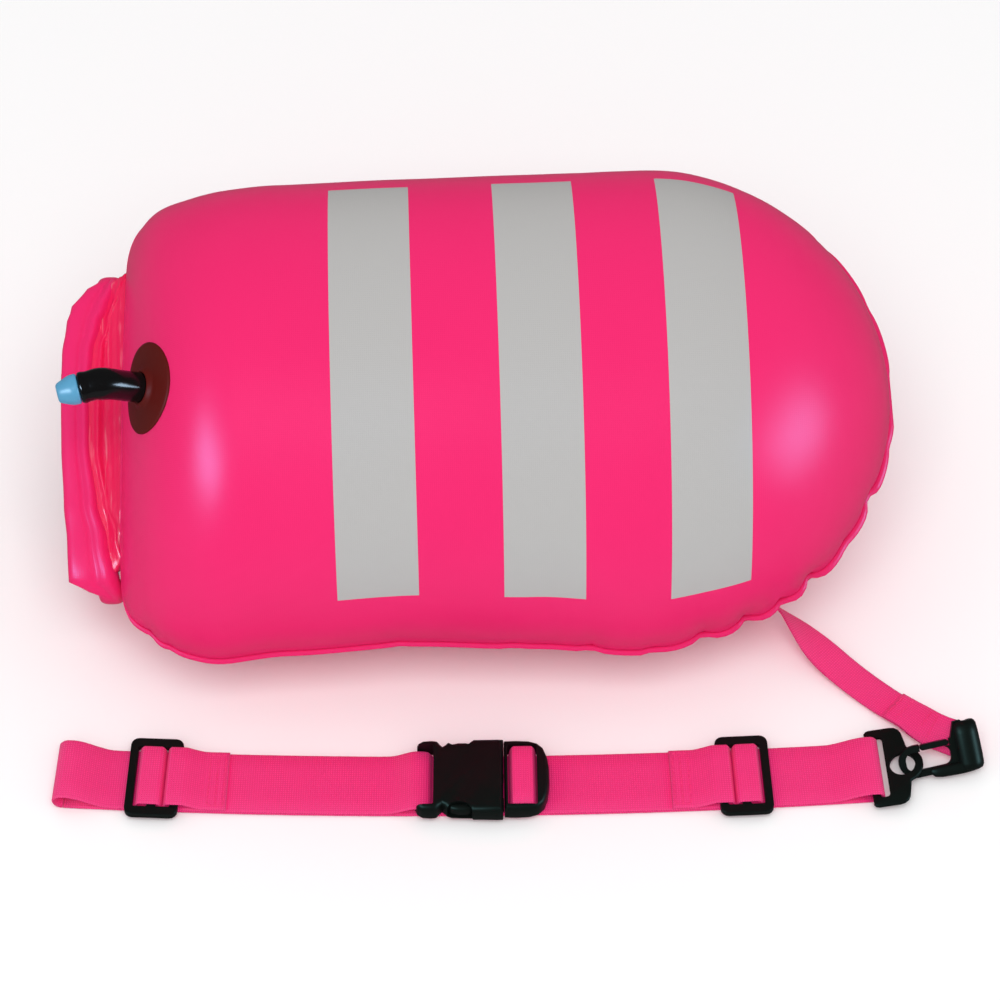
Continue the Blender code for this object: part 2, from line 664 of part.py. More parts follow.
HOOK_FRAME = hook_frame()
GATE_END_S = HOOK_GATE_S + HOOK_GATE_LENGTH
SLOT_START_S = GATE_END_S + HOOK_BASE_LENGTH
EYE_BAR_S = SLOT_START_S + EYE_SLOT_LENGTH + EYE_BAR / 2
EYE_MIDDLE_T = (HOOK_EYE_TOP_T + HOOK_EYE_LOW_T) / 2
LOOP_OUTER = LEASH_LOOP_INNER + LEASH_THICKNESS


def hook():
    """Snap hook body with the strap's eye, and the gate that closes it."""
    w = HOOK_HALF_WIDTH
    outline = []
    for k in range(HOOK_NOSE_STEPS + 1):
        turn = math.pi / 2 + math.pi * k / HOOK_NOSE_STEPS
        outline.append((w + w * math.cos(turn), w * math.sin(turn)))
    end = EYE_BAR_S + EYE_BAR / 2
    shoulder = GATE_END_S + HOOK_BAR / 4
    outline += [(shoulder, -w), (SLOT_START_S, HOOK_EYE_TOP_T), (end - HOOK_EYE_CORNER, HOOK_EYE_TOP_T)]
    outline += [(end, HOOK_EYE_TOP_T + HOOK_EYE_CORNER), (end, HOOK_EYE_LOW_T - HOOK_EYE_CORNER / 2)]
    outline += [(end - HOOK_EYE_CORNER, HOOK_EYE_LOW_T), (SLOT_START_S, HOOK_EYE_LOW_T), (shoulder, w)]
    half = HOOK_THICKNESS / 2
    body = add_object("hook_body", prism(outline, -half, half, HOOK_FRAME), BLACK, 0.35)
    slot = round_box(EYE_SLOT_LENGTH, LEASH_WIDTH + 4 * GAP, EYE_SLOT_LENGTH / 4,
                     (SLOT_START_S + EYE_SLOT_LENGTH / 2, EYE_MIDDLE_T))
    cut(body, prism(slot, -HOOK_THICKNESS, HOOK_THICKNESS, HOOK_FRAME), "hook_eye_hole")
    inner = w - HOOK_BAR
    length = GATE_END_S - HOOK_BAR - GAP
    hollow = round_box(length, 2 * inner, inner * HOLLOW_CORNER_share, (HOOK_BAR + length / 2, 0.0), 6)
    cut(body, prism(hollow, -HOOK_THICKNESS, HOOK_THICKNESS, HOOK_FRAME), "hook_hollow")
    mouth = round_box(HOOK_GATE_LENGTH, 2 * HOOK_BAR + 2 * GAP, GAP, (HOOK_GATE_S + HOOK_GATE_LENGTH / 2, -w))
    cut(body, prism(mouth, -HOOK_THICKNESS, HOOK_THICKNESS, HOOK_FRAME), "hook_mouth")
    gate = round_box(HOOK_GATE_LENGTH - 2 * GAP, HOOK_BAR - 2 * GAP, HOOK_BAR / 2 - GAP,
                     (HOOK_GATE_S + HOOK_GATE_LENGTH / 2, -w + HOOK_BAR / 2))
    add_object("hook_gate", prism(gate, -GATE_THICKNESS / 2, GATE_THICKNESS / 2, HOOK_FRAME), BLACK, 0.35)


def leash():
    """The strap from the tail patch over the floor, and its sewn loop round the hook's eye bar."""
    skin = skin_frame(TAIL_PATCH_X, TAIL_PATCH_ANGLE)
    out = skin.col[2].to_3d()
    start = skin.translation + out * (3 * GAP + PATCH_THICKNESS + LEASH_THICKNESS / 2)
    middle = HOOK_FRAME @ Vector((EYE_BAR_S, EYE_MIDDLE_T, 0.0))
    behind = HOOK_FRAME.col[2].to_3d()
    if behind.z > 0:
        behind = -behind
    last = middle + behind * (LOOP_OUTER + GAP + LEASH_THICKNESS / 2)
    route = [start] + [Vector(p) for p in LEASH_ROUTE] + [last]
    first = (route[1] - route[0]).cross(out).normalized()
    flat = Vector((math.sin(LEASH_HEADING), -math.cos(LEASH_HEADING), 0.0))
    tail = HOOK_FRAME.col[1].to_3d()
    first = first if first.dot(flat) > 0 else -first
    tail = tail if tail.dot(flat) > 0 else -tail
    path = smooth_route(route, LEASH_STEPS)
    across = []
    for i in range(len(path)):
        share = i / (len(path) - 1)
        early = min(1.0, share / LEASH_FLAT_share[0])
        late = max(0.0, (share - LEASH_FLAT_share[1]) / (1 - LEASH_FLAT_share[1]))
        across.append(first.lerp(flat, early).lerp(tail, late))
    ribbon("leash_strap", path, across, LEASH_WIDTH, LEASH_THICKNESS, WEB_PINK)
    turned = HOOK_FRAME @ Matrix.Translation((EYE_BAR_S, EYE_MIDDLE_T, 0.0))
    turned = turned @ Matrix.Rotation(math.pi / 2, 4, "X")
    spans = (-LEASH_WIDTH / 2, LEASH_WIDTH / 2)
    loop = hollow_loft([turned_ring(LOOP_OUTER, h, turned, 16) for h in spans],
                       [turned_ring(LEASH_LOOP_INNER, h, turned, 16) for h in spans])
    add_object("leash_loop", loop, WEB_PINK, 0.8)


def ring():
    """Belt ring: the strap's slot at its left, the hook's hole in its round nose."""
    half = RING_THICKNESS / 2
    left = -RING_BAR / 2
    shoulder = RING_BAR / 2 + RING_SLOT_LENGTH + RING_SHOULDER
    outline = [(left, -RING_HALF_WIDTH + RING_BAR / 2), (left + RING_BAR / 2, -RING_HALF_WIDTH)]
    outline += [(shoulder, -RING_HALF_WIDTH)]
    for k in range(RING_NOSE_STEPS + 1):
        turn = RING_NOSE_TURN * (2 * k / RING_NOSE_STEPS - 1)
        outline.append((RING_HOLE_U + RING_NOSE_RADIUS * math.cos(turn), RING_NOSE_RADIUS * math.sin(turn)))
    outline += [(u, -v) for u, v in reversed(outline[:3])]
    plate = add_object("belt_ring", prism(outline, -half, half, RING_FRAME), BLACK, 0.35)
    slot = round_box(RING_SLOT_LENGTH, BELT_WIDTH + 4 * GAP, RING_SLOT_LENGTH / 3,
                     ((RING_BAR + RING_SLOT_LENGTH) / 2, 0.0))
    cut(plate, prism(slot, -RING_BAR, RING_BAR, RING_FRAME), "ring_slot")
    hole = circle(RING_HOLE_RADIUS, (RING_HOLE_U, 0.0))
    cut(plate, prism(hole, -RING_BAR, RING_BAR, RING_FRAME), "ring_hole")


def belt():
    """The belt's one strap: lower layer, left fold, flat upper stretches and the wrap at the ring."""
    fold_x = BELT_LEFT_X + BELT_FOLD_REACH
    belt_layer("belt_lower", [(fold_x + GAP, LOW_Z), (BAR_X - GAP, LOW_Z)])
    lift = BELT_FOLD_HEIGHT / 2 - LOW_Z
    path = []
    for k in range(BELT_FOLD_STEPS + 1):
        turn = -math.pi / 2 - math.pi * k / BELT_FOLD_STEPS
        path.append((fold_x + BELT_FOLD_REACH * math.cos(turn), LOW_Z + lift + lift * math.sin(turn)))
    top = path[-1][1]
    path += [(fold_x + BELT_FOLD_RUN * s, TOP_Z + (top - TOP_Z) * h) for s, h in FOLD_DOWN_shares]
    belt_layer("belt_fold", path)
    belt_layer("belt_upper_left", [(path[-1][0] + GAP, TOP_Z), (SEAM_X - GAP, TOP_Z)])
    belt_layer("belt_upper_right", [(SEAM_X, TOP_Z), (BAR_X - WRAP_RUN - GAP, TOP_Z)])
    high = LOW_Z + 2 * WRAP_RADIUS
    wrap = [(BAR_X - WRAP_RUN * s, TOP_Z + (high - TOP_Z) * h) for s, h in reversed(FOLD_DOWN_shares)]
    for k in range(WRAP_STEPS + 1):
        turn = math.pi / 2 - math.pi * k / WRAP_STEPS
        wrap.append((BAR_X + WRAP_RADIUS * math.cos(turn), LOW_Z + WRAP_RADIUS * (1 + math.sin(turn))))
    belt_layer("belt_wrap", wrap)


def slider(side, x, sewn_sign):
    """A tri-glide over the flat strap, the strap's bulge over its bar, and the sewn end over its rail."""
    frame = belt_frame(x, SLIDER_BASE)
    plate = add_object(f"slider_{side}", prism(round_box(SLIDER_LENGTH, SLIDER_WIDTH, SLIDER_BAR), 0.0,
                                               SLIDER_THICKNESS, frame), BLACK, 0.35)
    slot_length = (SLIDER_LENGTH - 3 * SLIDER_BAR) / 2
    for k, sign in enumerate((-1, 1)):
        slot = round_box(slot_length, BELT_WIDTH + 4 * GAP, SLIDER_BAR / 4,
                         (sign * (SLIDER_BAR + slot_length) / 2, 0.0))
        cut(plate, prism(slot, -SLIDER_THICKNESS, 2 * SLIDER_THICKNESS, frame), f"slot_{side}_{k}")
    high = SLIDER_BASE + SLIDER_THICKNESS + GAP + BELT_THICKNESS / 2
    reach = SLIDER_BAR / 2 + slot_length / 2 - GAP
    belt_layer(f"slider_{side}_bulge", arch(x - reach, x + reach, ABOVE_Z, high))
    start = x + sewn_sign * (SLIDER_BAR / 2 + slot_length / 2 + GAP)
    far = x + sewn_sign * (SLIDER_LENGTH / 2 + SEWN_LENGTH)
    run = far - start
    places = [(start + run * s, ABOVE_Z + (high - ABOVE_Z) * h) for s, h in SEWN_shares]
    belt_layer(f"sewn_end_{side}", places if run > 0 else places[::-1])


def buckle():
    """Side-release buckle: socket half, prong half with two springy arms, and the strap over its bar."""
    half = BUCKLE_THICKNESS / 2
    frame = belt_frame(BUCKLE_X, SLIDER_BASE + half)
    length = BUCKLE_JOINT_X - BUCKLE_X
    body = add_object("buckle_socket", prism(round_box(length, BUCKLE_WIDTH, BUCKLE_BAR, (length / 2, 0.0)),
                                             -half, half, frame), BLACK, 0.35)
    inner = half - BUCKLE_WALL
    depth = length - 4 * BUCKLE_BAR
    mouth = round_box(depth, BUCKLE_WIDTH - 2 * BUCKLE_WALL, BUCKLE_WALL / 2,
                      (length - depth / 2 + BUCKLE_WALL, 0.0))
    cut(body, prism(mouth, -inner, inner, frame), "buckle_mouth")
    for k, sign in enumerate((-1, 1)):
        window = round_box(WINDOW_LENGTH, 4 * BUCKLE_WALL, BUCKLE_WALL, (length / 2, sign * BUCKLE_WIDTH / 2))
        cut(body, prism(window, -inner, inner, frame), f"buckle_window_{k}")
    slot = round_box(BUCKLE_BAR, BELT_WIDTH + 4 * GAP, BUCKLE_BAR / 4, (BUCKLE_BAR * 3 / 2, 0.0))
    cut(body, prism(slot, -BUCKLE_THICKNESS, BUCKLE_THICKNESS, frame), "buckle_slot")
    prong = belt_frame(BUCKLE_JOINT_X, SLIDER_BASE + half)
    reach = BUCKLE_END_X - BUCKLE_JOINT_X
    block = round_box(reach - GAP, BUCKLE_WIDTH, BUCKLE_BAR, ((reach + GAP) / 2, 0.0))
    plate = add_object("buckle_prongs", prism(block, -half, half, prong), BLACK, 0.35)
    hole_length = (reach - 3 * BUCKLE_BAR) / 2
    centre = reach / 2
    for k, sign in enumerate((-1, 1)):
        hole = round_box(hole_length, BELT_WIDTH + 4 * GAP, BUCKLE_BAR / 4,
                         (centre + sign * (BUCKLE_BAR + hole_length) / 2, 0.0))
        cut(plate, prism(hole, -BUCKLE_THICKNESS, BUCKLE_THICKNESS, prong), f"prong_slot_{k}")
    span = BUCKLE_BAR / 2 + hole_length - GAP
    middle = BUCKLE_JOINT_X + centre
    high = SLIDER_BASE + BUCKLE_THICKNESS + GAP + BELT_THICKNESS / 2
    belt_layer("buckle_bulge", arch(middle - span, middle + span, ABOVE_Z, high))
    arm_half = inner - 2 * GAP
    edge = BUCKLE_WIDTH / 2 - BUCKLE_WALL - 3 * GAP
    for side, sign in (("far", 1), ("near", -1)):
        arm = [(0.0, sign * edge), (0.0, sign * (edge - BUCKLE_ARM_WIDTH)),
               (-BUCKLE_ARM_LENGTH, sign * (edge - BUCKLE_ARM_WIDTH)), (-BUCKLE_ARM_LENGTH, sign * edge)]
        add_object(f"buckle_arm_{side}", prism(arm, -arm_half, arm_half, prong), BLACK, 0.35)
    guide = round_box(BUCKLE_ARM_LENGTH, BUCKLE_ARM_WIDTH, BUCKLE_WALL, (-BUCKLE_ARM_LENGTH / 2, 0.0))
    add_object("buckle_guide", prism(guide, -arm_half, arm_half, prong), BLACK, 0.35)


dry_pouch()
panel("front_panel", 1, PINK)
panel("back_panel", -1, PINK)
neck_film()
closure()
valve()
tail_patch()
hook()
leash()
ring()
belt()
slider("left", SLIDER_LEFT_X, 1)
slider("right", SLIDER_RIGHT_X, -1)
buckle()
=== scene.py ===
"""Looks of the open water swim buoy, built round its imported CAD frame.

Metres, +Z up. The buoy lies on its back along X, roll-top at -X and tail at +X, its belt on the -Y side.
"""
import math

import bmesh
import bpy
from mathutils import Matrix, Vector, noise
from mathutils.bvhtree import BVHTree


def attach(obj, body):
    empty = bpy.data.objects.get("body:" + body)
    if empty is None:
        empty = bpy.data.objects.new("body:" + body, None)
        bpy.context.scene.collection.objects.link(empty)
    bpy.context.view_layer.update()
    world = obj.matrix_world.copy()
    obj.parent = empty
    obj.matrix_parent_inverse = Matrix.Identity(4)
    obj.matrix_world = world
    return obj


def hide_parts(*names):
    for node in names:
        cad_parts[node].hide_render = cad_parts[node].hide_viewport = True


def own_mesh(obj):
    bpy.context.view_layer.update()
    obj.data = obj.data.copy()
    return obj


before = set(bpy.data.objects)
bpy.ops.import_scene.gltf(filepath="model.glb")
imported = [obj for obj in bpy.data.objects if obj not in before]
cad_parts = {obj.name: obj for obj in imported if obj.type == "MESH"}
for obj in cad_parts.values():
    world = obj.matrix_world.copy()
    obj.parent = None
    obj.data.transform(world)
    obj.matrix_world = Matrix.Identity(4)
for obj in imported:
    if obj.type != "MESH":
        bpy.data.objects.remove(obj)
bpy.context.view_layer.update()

# Sizes shared with the CAD source
GAP = 0.0003
BODY_HALF_WIDTH = 0.134
BODY_HALF_DEPTH = 0.110
LEFT_END_X = -0.214
LEFT_CORNER_LENGTH = 0.064
LEFT_DEPTH_LENGTH = 0.074
NECK_HALF_WIDTH = 0.080
TAIL_X = 0.218
TAIL_LENGTH = 0.143
END_DEPTH_SHARE = 0.14
BODY_FRAME = (Matrix.Translation((0.0, 0.0, BODY_HALF_DEPTH)) @ Matrix.Rotation(math.radians(2.0), 4, "Z")
              @ Matrix.Rotation(math.radians(25.0), 4, "X"))
UP = Vector((0.0, 0.0, 1.0))


# Small tools
def linear(shade):
    """A '#RRGGBB' colour as linear red, green, blue and alpha."""
    parts = [int(shade[i:i + 2], 16) / 255 for i in (1, 3, 5)]
    return tuple(c / 12.92 if c <= 0.04045 else ((c + 0.055) / 1.055) ** 2.4 for c in parts) + (1.0,)


def eased(share):
    """0 to 1 with soft ends."""
    share = min(1.0, max(0.0, share))
    return share * share * (3 - 2 * share)


def rounded(value, power):
    """A sine or cosine pushed towards a flat-sided section."""
    return math.copysign(abs(value) ** power, value)


def turns_of(count):
    """Angles evenly round a circle."""
    return [2 * math.pi * k / count for k in range(count)]


def way_at(path, i):
    """The direction of a path at its point i, not normalised."""
    return path[min(i + 1, len(path) - 1)] - path[max(i - 1, 0)]


def mesh_object(name, bm):
    """A finished bmesh as an object in the scene."""
    mesh = bpy.data.meshes.new(name)
    bm.to_mesh(mesh)
    bm.free()
    made = bpy.data.objects.new(name, mesh)
    bpy.context.collection.objects.link(made)
    return made


def weld(made):
    """Joins points that lie on each other."""
    made.modifiers.new("weld", "WELD").merge_threshold = 0.00001


def feed(tree, node, settings):
    """Sets a node up; each setting is a property, a socket's value or the output that feeds the socket."""
    for name, value in settings.items():
        if isinstance(name, str) and name not in node.inputs:
            setattr(node, name, value)
        elif isinstance(value, bpy.types.NodeSocket):
            tree.links.new(value, node.inputs[name])
        else:
            node.inputs[name].default_value = value
    return node


def add_node(tree, kind, settings):
    """Adds a node with its settings."""
    return feed(tree, tree.nodes.new(kind), settings)


def maths(tree, operation, *terms):
    """The output of a math node on its terms, each a number or another node's output."""
    return add_node(tree, "ShaderNodeMath", {"operation": operation, **dict(enumerate(terms))}).outputs[0]


def blend(tree, share, first, second):
    """The output of a colour mix: the first colour at share 0, the second at 1."""
    return add_node(tree, "ShaderNodeMix", {"data_type": "RGBA", 0: share, 6: first, 7: second}).outputs[2]


def new_finish(name):
    """An empty material with its shader; returns the material, its node tree and the shader."""
    made = bpy.data.materials.new(name)
    made.use_nodes = True
    return made, made.node_tree, made.node_tree.nodes["Principled BSDF"]


# Camera, floor and light
def photo_camera():
    """The photograph's view: from the belt side, 53 degrees above the floor, through a long lens."""
    lens = bpy.data.cameras.new("photo_camera")
    lens.lens = 136.8
    lens.sensor_width = 36.0
    made = bpy.data.objects.new("photo_camera", lens)
    made.location = (0.0, -1.319, 1.779)
    made.rotation_euler = (math.radians(37.0), 0.0, 0.0)
    bpy.context.collection.objects.link(made)
    bpy.context.scene.camera = made


def softbox(name, place, aim, size, watts, shade, mirrored=True):
    """A studio softbox that points at a spot on the buoy; mirrored ones only show in glossy surfaces, and
    the others only light."""
    lamp = bpy.data.lights.new(name, "AREA")
    lamp.shape = "RECTANGLE"
    lamp.size, lamp.size_y = size
    lamp.energy = watts
    lamp.color = linear(shade)[:3]
    made = bpy.data.objects.new(name, lamp)
    made.location = place
    made.rotation_euler = (Vector(aim) - Vector(place)).to_track_quat("-Z", "Y").to_euler()
    made.visible_glossy = mirrored
    made.visible_diffuse = not mirrored
    bpy.context.collection.objects.link(made)


def studio():
    """White sweep under the buoy, an even white room, a softbox at either side and one above the camera."""
    bm = bmesh.new()
    bmesh.ops.create_grid(bm, x_segments=2, y_segments=2, size=4.0)
    floor = mesh_object("studio_floor", bm)
    floor.location.z = -0.0004
    paper, tree, shader = new_finish("studio_paper")
    # The paper is darker in the buoy's coat, which would otherwise turn pale along its lower side
    mirror = add_node(tree, "ShaderNodeLightPath", {}).outputs["Is Glossy Ray"]
    feed(tree, shader, {"Base Color": blend(tree, mirror, linear("#FDFDFD"), linear("#6A6A6A")),
                        "Roughness": 0.9})
    floor.data.materials.append(paper)
    world = bpy.data.worlds.new("studio_room")
    world.use_nodes = True
    tree = world.node_tree
    # The room lights evenly, but is dim in reflections, as walls a few metres away are
    glance = add_node(tree, "ShaderNodeLightPath", {}).outputs["Is Glossy Ray"]
    power = add_node(tree, "ShaderNodeMapRange", {"Value": glance, "To Min": 0.74, "To Max": 0.06})
    feed(tree, tree.nodes["Background"], {"Color": linear("#FFFFFF"), "Strength": power.outputs[0]})
    bpy.context.scene.world = world
    softbox("softbox_left", (-1.15, -1.0, 1.05), (-0.14, -0.05, 0.10), (0.85, 0.45), 29.0, "#C8E4FF")
    softbox("softbox_right", (2.00, -0.66, 0.78), (0.14, -0.05, 0.10), (0.95, 0.70), 33.0, "#C8E4FF")
    softbox("softbox_front", (0.0, -1.2, 2.3), (0.0, -0.05, 0.0), (1.6, 1.2), 27.0, "#FFFFFF", mirrored=False)
    # Neon pigments stay saturated only when shades aren't rolled off towards white
    bpy.context.scene.view_settings.view_transform = "Standard"


photo_camera()
studio()


# Finishes
def cloth_measure(tree):
    """Length and width of the cloth in metres, from its UVs."""
    return add_node(tree, "ShaderNodeUVMap", {"uv_map": "cloth"}).outputs["UV"]


def relief(tree, strength, distance, height):
    """The normals of a surface raised by a height."""
    return add_node(tree, "ShaderNodeBump", {"Strength": strength, "Distance": distance,
                                             "Height": height}).outputs["Normal"]


def thread_waves(tree, spot, spacing):
    """Threads both ways at a spacing in metres, as one height: 0.314 is a wave's length at scale 1."""
    sides = [add_node(tree, "ShaderNodeTexWave", {"bands_direction": direction, "Vector": spot,
                                                  "Scale": 0.314 / spacing, "Distortion": 0.0}).outputs["Fac"]
             for direction in ("X", "Y")]
    return maths(tree, "MULTIPLY", *sides)


# Plain reflective bands round the girth of the front panel: (middle, half width) along the buoy, in metres
BANDS = ((-0.070, 0.022), (0.020, 0.022), (0.110, 0.022))
BAND_REACH = 0.130


def band_mask(tree, cloth):
    """1 inside a band and 0 outside: bands run across the buoy and stop short of the seams."""
    split = add_node(tree, "ShaderNodeSeparateXYZ", {"Vector": cloth})
    total = 0.0
    for middle, half in BANDS:
        away = maths(tree, "ABSOLUTE", maths(tree, "SUBTRACT", split.outputs["X"], middle))
        total = maths(tree, "ADD", total, maths(tree, "LESS_THAN", away, half))
    reach = maths(tree, "LESS_THAN", maths(tree, "ABSOLUTE", split.outputs["Y"]), BAND_REACH)
    return maths(tree, "MULTIPLY", total, reach)


def coated_fabric(name, shade, deep_shade, banded=False):
    """TPU-coated polyester, satin: the coat gives soft bluish lights, and the threads print through it.
    Real threads are 0.35 mm apart, too fine to show, so they are drawn 1.1 mm apart."""
    made, tree, shader = new_finish(name)
    cloth = cloth_measure(tree)
    cloud = add_node(tree, "ShaderNodeTexNoise", {"Vector": cloth, "Scale": 9.0, "Detail": 3.0})
    colour = blend(tree, cloud.outputs["Fac"], linear(deep_shade), linear(shade))
    if banded:
        colour = blend(tree, band_mask(tree, cloth), colour, linear("#B4B2B0"))
    feed(tree, shader, {"Base Color": colour, "Roughness": 0.31, "Specular IOR Level": 0.30,
                        "Specular Tint": linear("#8CC8FF"),
                        "Normal": relief(tree, 0.18, 0.0002, thread_waves(tree, cloth, 0.0011))})
    return made


def welded_film(name, shade, painted_streak):
    """Thin TPU film at the neck: glossy, with pale streaks of painted highlight where it is gathered."""
    made, tree, shader = new_finish(name)
    stretch = add_node(tree, "ShaderNodeMapping", {"Vector": cloth_measure(tree),
                                                  "Scale": (420.0, 26.0, 1.0)})
    pulls = add_node(tree, "ShaderNodeTexNoise", {"Vector": stretch.outputs[0], "Scale": 1.0,
                                                  "Detail": 4.0}).outputs["Fac"]
    # The pale streaks are painted highlight, laid on the same pulls that raise the film's relief
    pale = add_node(tree, "ShaderNodeMapRange", {"Value": pulls, "From Min": 0.60, "From Max": 0.80,
                                                 "To Max": 0.40})
    feed(tree, shader, {"Base Color": blend(tree, pale.outputs[0], linear(shade), linear(painted_streak)),
                        "Roughness": 0.24, "Normal": relief(tree, 0.35, 0.001, pulls)})
    return made


def nylon_webbing(name, shade, deep_shade):
    """Woven nylon strap: crosswise ribs, real ones 0.6 mm apart, drawn 1.3 mm apart so that they show."""
    made, tree, shader = new_finish(name)
    threads = thread_waves(tree, cloth_measure(tree), 0.0013)
    # The emission is a painted glow: it brightens the neon webbing, though the strap is no lamp
    # The colour is darker between the threads: partly the weave's own tone, partly painted shade in the
    # grooves
    feed(tree, shader, {"Base Color": blend(tree, threads, linear(deep_shade), linear(shade)),
                        "Roughness": 0.62, "Sheen Weight": 0.08, "Emission Color": linear(shade),
                        "Emission Strength": 0.10, "Normal": relief(tree, 0.7, 0.0005, threads)})
    return made


def moulded(name, shade, roughness, grain=0.0006, depth=0.00006, levels=None):
    """Injection-moulded plastic: an even colour, a fine spark-eroded grain and slightly uneven gloss. The
    levels are values for the shader's other sockets."""
    made, tree, shader = new_finish(name)
    spot = add_node(tree, "ShaderNodeTexCoord", {}).outputs["Object"]
    pits = add_node(tree, "ShaderNodeTexNoise", {"Vector": spot, "Scale": 1 / grain, "Detail": 2.0})
    wear = add_node(tree, "ShaderNodeTexNoise", {"Vector": spot, "Scale": 60.0, "Detail": 3.0})
    gloss = add_node(tree, "ShaderNodeMapRange", {"Value": wear.outputs["Fac"], "To Min": roughness - 0.06,
                                                  "To Max": roughness + 0.08})
    feed(tree, shader, {"Base Color": linear(shade), "Roughness": gloss.outputs[0],
                        "Normal": relief(tree, 0.35, depth, pits.outputs["Fac"]), **(levels or {})})
    return made


# The two sheets are one cloth; only the front one carries the bands
front_fabric = coated_fabric("coated_polyester_front", "#F0286E", "#EA2268", banded=True)
back_fabric = coated_fabric("coated_polyester_back", "#F0286E", "#EA2268")
# Redder and glossier than the cloth, with pale streaks of painted highlight, so that the gathers beside the
# roll stand out
neck_tpu = welded_film("tpu_film_neck", "#F01E5A", "#FFD3E2")
# Matt, which sets the straps off from the satin body
strap_nylon = nylon_webbing("woven_nylon_webbing", "#FF2C8A", "#E01A68")
# Satin black with greenish lights, which draw every rim and slot
black_acetal = moulded("moulded_acetal_black", "#0D100F", 0.42,
                       levels={"Specular IOR Level": 0.3, "Specular Tint": linear("#A4CDB8")})
# A dull dark red disc, almost without a highlight
valve_pvc = moulded("welded_pvc_valve_disc", "#5A120D", 0.46, 0.001, levels={"Specular IOR Level": 0.10})
# Shiny black, with a narrow light along the tube's bend
tube_tpu = moulded("moulded_tpu_tube_black", "#0C0C0D", 0.14, 0.002, 0.00003)
# Half-gloss light blue, the one cool colour on the buoy
mouth_blue = moulded("moulded_pe_mouthpiece_blue", "#559DC4", 0.34)
# The belt's own pink, so that the stitches show by their relief
thread_pink = moulded("bonded_nylon_thread", "#F52C78", 0.5, 0.0004)
# Bright metal inside the valve
spring_wire = moulded("drawn_steel_wire", "#B8B8BA", 0.25, levels={"Metallic": 1.0})
# Plain grey lining, hidden between the two panels
pouch_cloth = moulded("coated_nylon_pouch_grey", "#9A9CA0", 0.5)


# Sheets of fabric
def sheet_mesh(name, rows, cloth, finish, body="buoy", cad_nodes=(), closed=True, thick=0.0):
    """A grid of points as one smooth piece on its body, in the place of the CAD nodes it replaces, with its
    cloth measures as UVs; closed joins each row's ends."""
    bm = bmesh.new()
    uv = bm.loops.layers.uv.new("cloth")
    grid = [[bm.verts.new(p) for p in row] for row in rows]
    wide = len(rows[0])
    for i in range(len(rows) - 1):
        for k in range(wide if closed else wide - 1):
            j = (k + 1) % wide
            corners = ((i, k), (i + 1, k), (i + 1, j), (i, j))
            face = bm.faces.new([grid[a][b] for a, b in corners])
            for loop, (a, b) in zip(face.loops, corners):
                loop[uv].uv = cloth[a][b] if not (closed and j == 0 and b == 0) else cloth[a][wide]
    bmesh.ops.recalc_face_normals(bm, faces=bm.faces)
    made = mesh_object(name, bm)
    made.data.shade_smooth()
    made.data.materials.append(finish)
    if thick:
        wall = made.modifiers.new("wall", "SOLIDIFY")
        wall.thickness = thick
        wall.offset = -1.0
    if cad_nodes:
        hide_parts(*cad_nodes)
    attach(made, body)
    return made


def cap_rows(made, wide, rows):
    """Closes the named rows of a strip that is closed across, each with one flat face."""
    bm = bmesh.new()
    bm.from_mesh(made.data)
    bm.verts.ensure_lookup_table()
    for row in rows:
        bm.faces.new([bm.verts[row * wide + k] for k in range(wide)])
    bmesh.ops.recalc_face_normals(bm, faces=bm.faces)
    bm.to_mesh(made.data)
    bm.free()


def grid_cloth(rows, along, across):
    """Cloth measures for small moulded pieces, whose material doesn't read them: an even grid."""
    return [[(along * i, across * k) for k in range(len(row) + 1)] for i, row in enumerate(rows)]


# The inflated body
TAIL_CENTRE_X = TAIL_X - TAIL_LENGTH
# Puckers where the flat panels are gathered into the round end: (angle round the tail in degrees, 0 at the
# tip and negative on the belt side, depth in metres, half width in degrees)
TAIL_PUCKERS = ((-88.0, 0.0016, 1.8), (-76.6, 0.0042, 2.1), (-66.0, 0.0050, 2.3), (-56.8, 0.0036, 2.4),
                (-48.4, 0.0056, 2.2), (-37.0, 0.0014, 2.6), (-25.4, 0.0042, 2.0), (-11.0, 0.0012, 2.6),
                (4.2, 0.0016, 2.0), (22.0, 0.0009, 2.6), (40.3, 0.0014, 2.2), (62.0, 0.0010, 2.6))
# Puckers along the straight seam and the left corner: (x, side, depth, half width), all in metres
SEAM_PUCKERS = ((0.046, -1, 0.0022, 0.0040), (0.004, -1, 0.0010, 0.0050), (-0.060, -1, 0.0008, 0.0060),
                (-0.197, -1, 0.0030, 0.0034), (-0.186, -1, 0.0018, 0.0040), (-0.198, 1, 0.0016, 0.0040),
                (-0.120, 1, 0.0006, 0.0060), (0.050, 1, 0.0008, 0.0050))
PUCKER_REACH = 0.42
# The open end leans: how far in it lies at its middle, how much more at the far corner, and its reach
END_DRAWN_IN = 0.0036
END_LEAN = 0.0024
END_REACH = 0.050
# The blown-up seam isn't quite straight: (x, how far out it lies on the far side, and on the belt's side)
SEAM_DRIFT = ((-0.214, 0.0, 0.0130), (-0.200, -0.0020, 0.0052), (-0.170, -0.0060, 0.0022),
              (-0.120, -0.0022, -0.0022), (-0.052, -0.0008, -0.0053), (0.014, 0.0, -0.0022),
              (0.072, 0.0007, 0.0030), (0.110, 0.0023, 0.0008), (0.170, 0.0030, 0.0022),
              (0.218, 0.0052, -0.0060))


def half_width(x):
    """Half the body's width in the seam plane."""
    if x < LEFT_END_X + LEFT_CORNER_LENGTH:
        share = (LEFT_END_X + LEFT_CORNER_LENGTH - x) / LEFT_CORNER_LENGTH
        return NECK_HALF_WIDTH + (BODY_HALF_WIDTH - NECK_HALF_WIDTH) * math.sqrt(max(0.0, 1 - share * share))
    share = max(0.0, (x - TAIL_CENTRE_X) / TAIL_LENGTH)
    return BODY_HALF_WIDTH * math.sqrt(max(0.0, 1 - share * share))


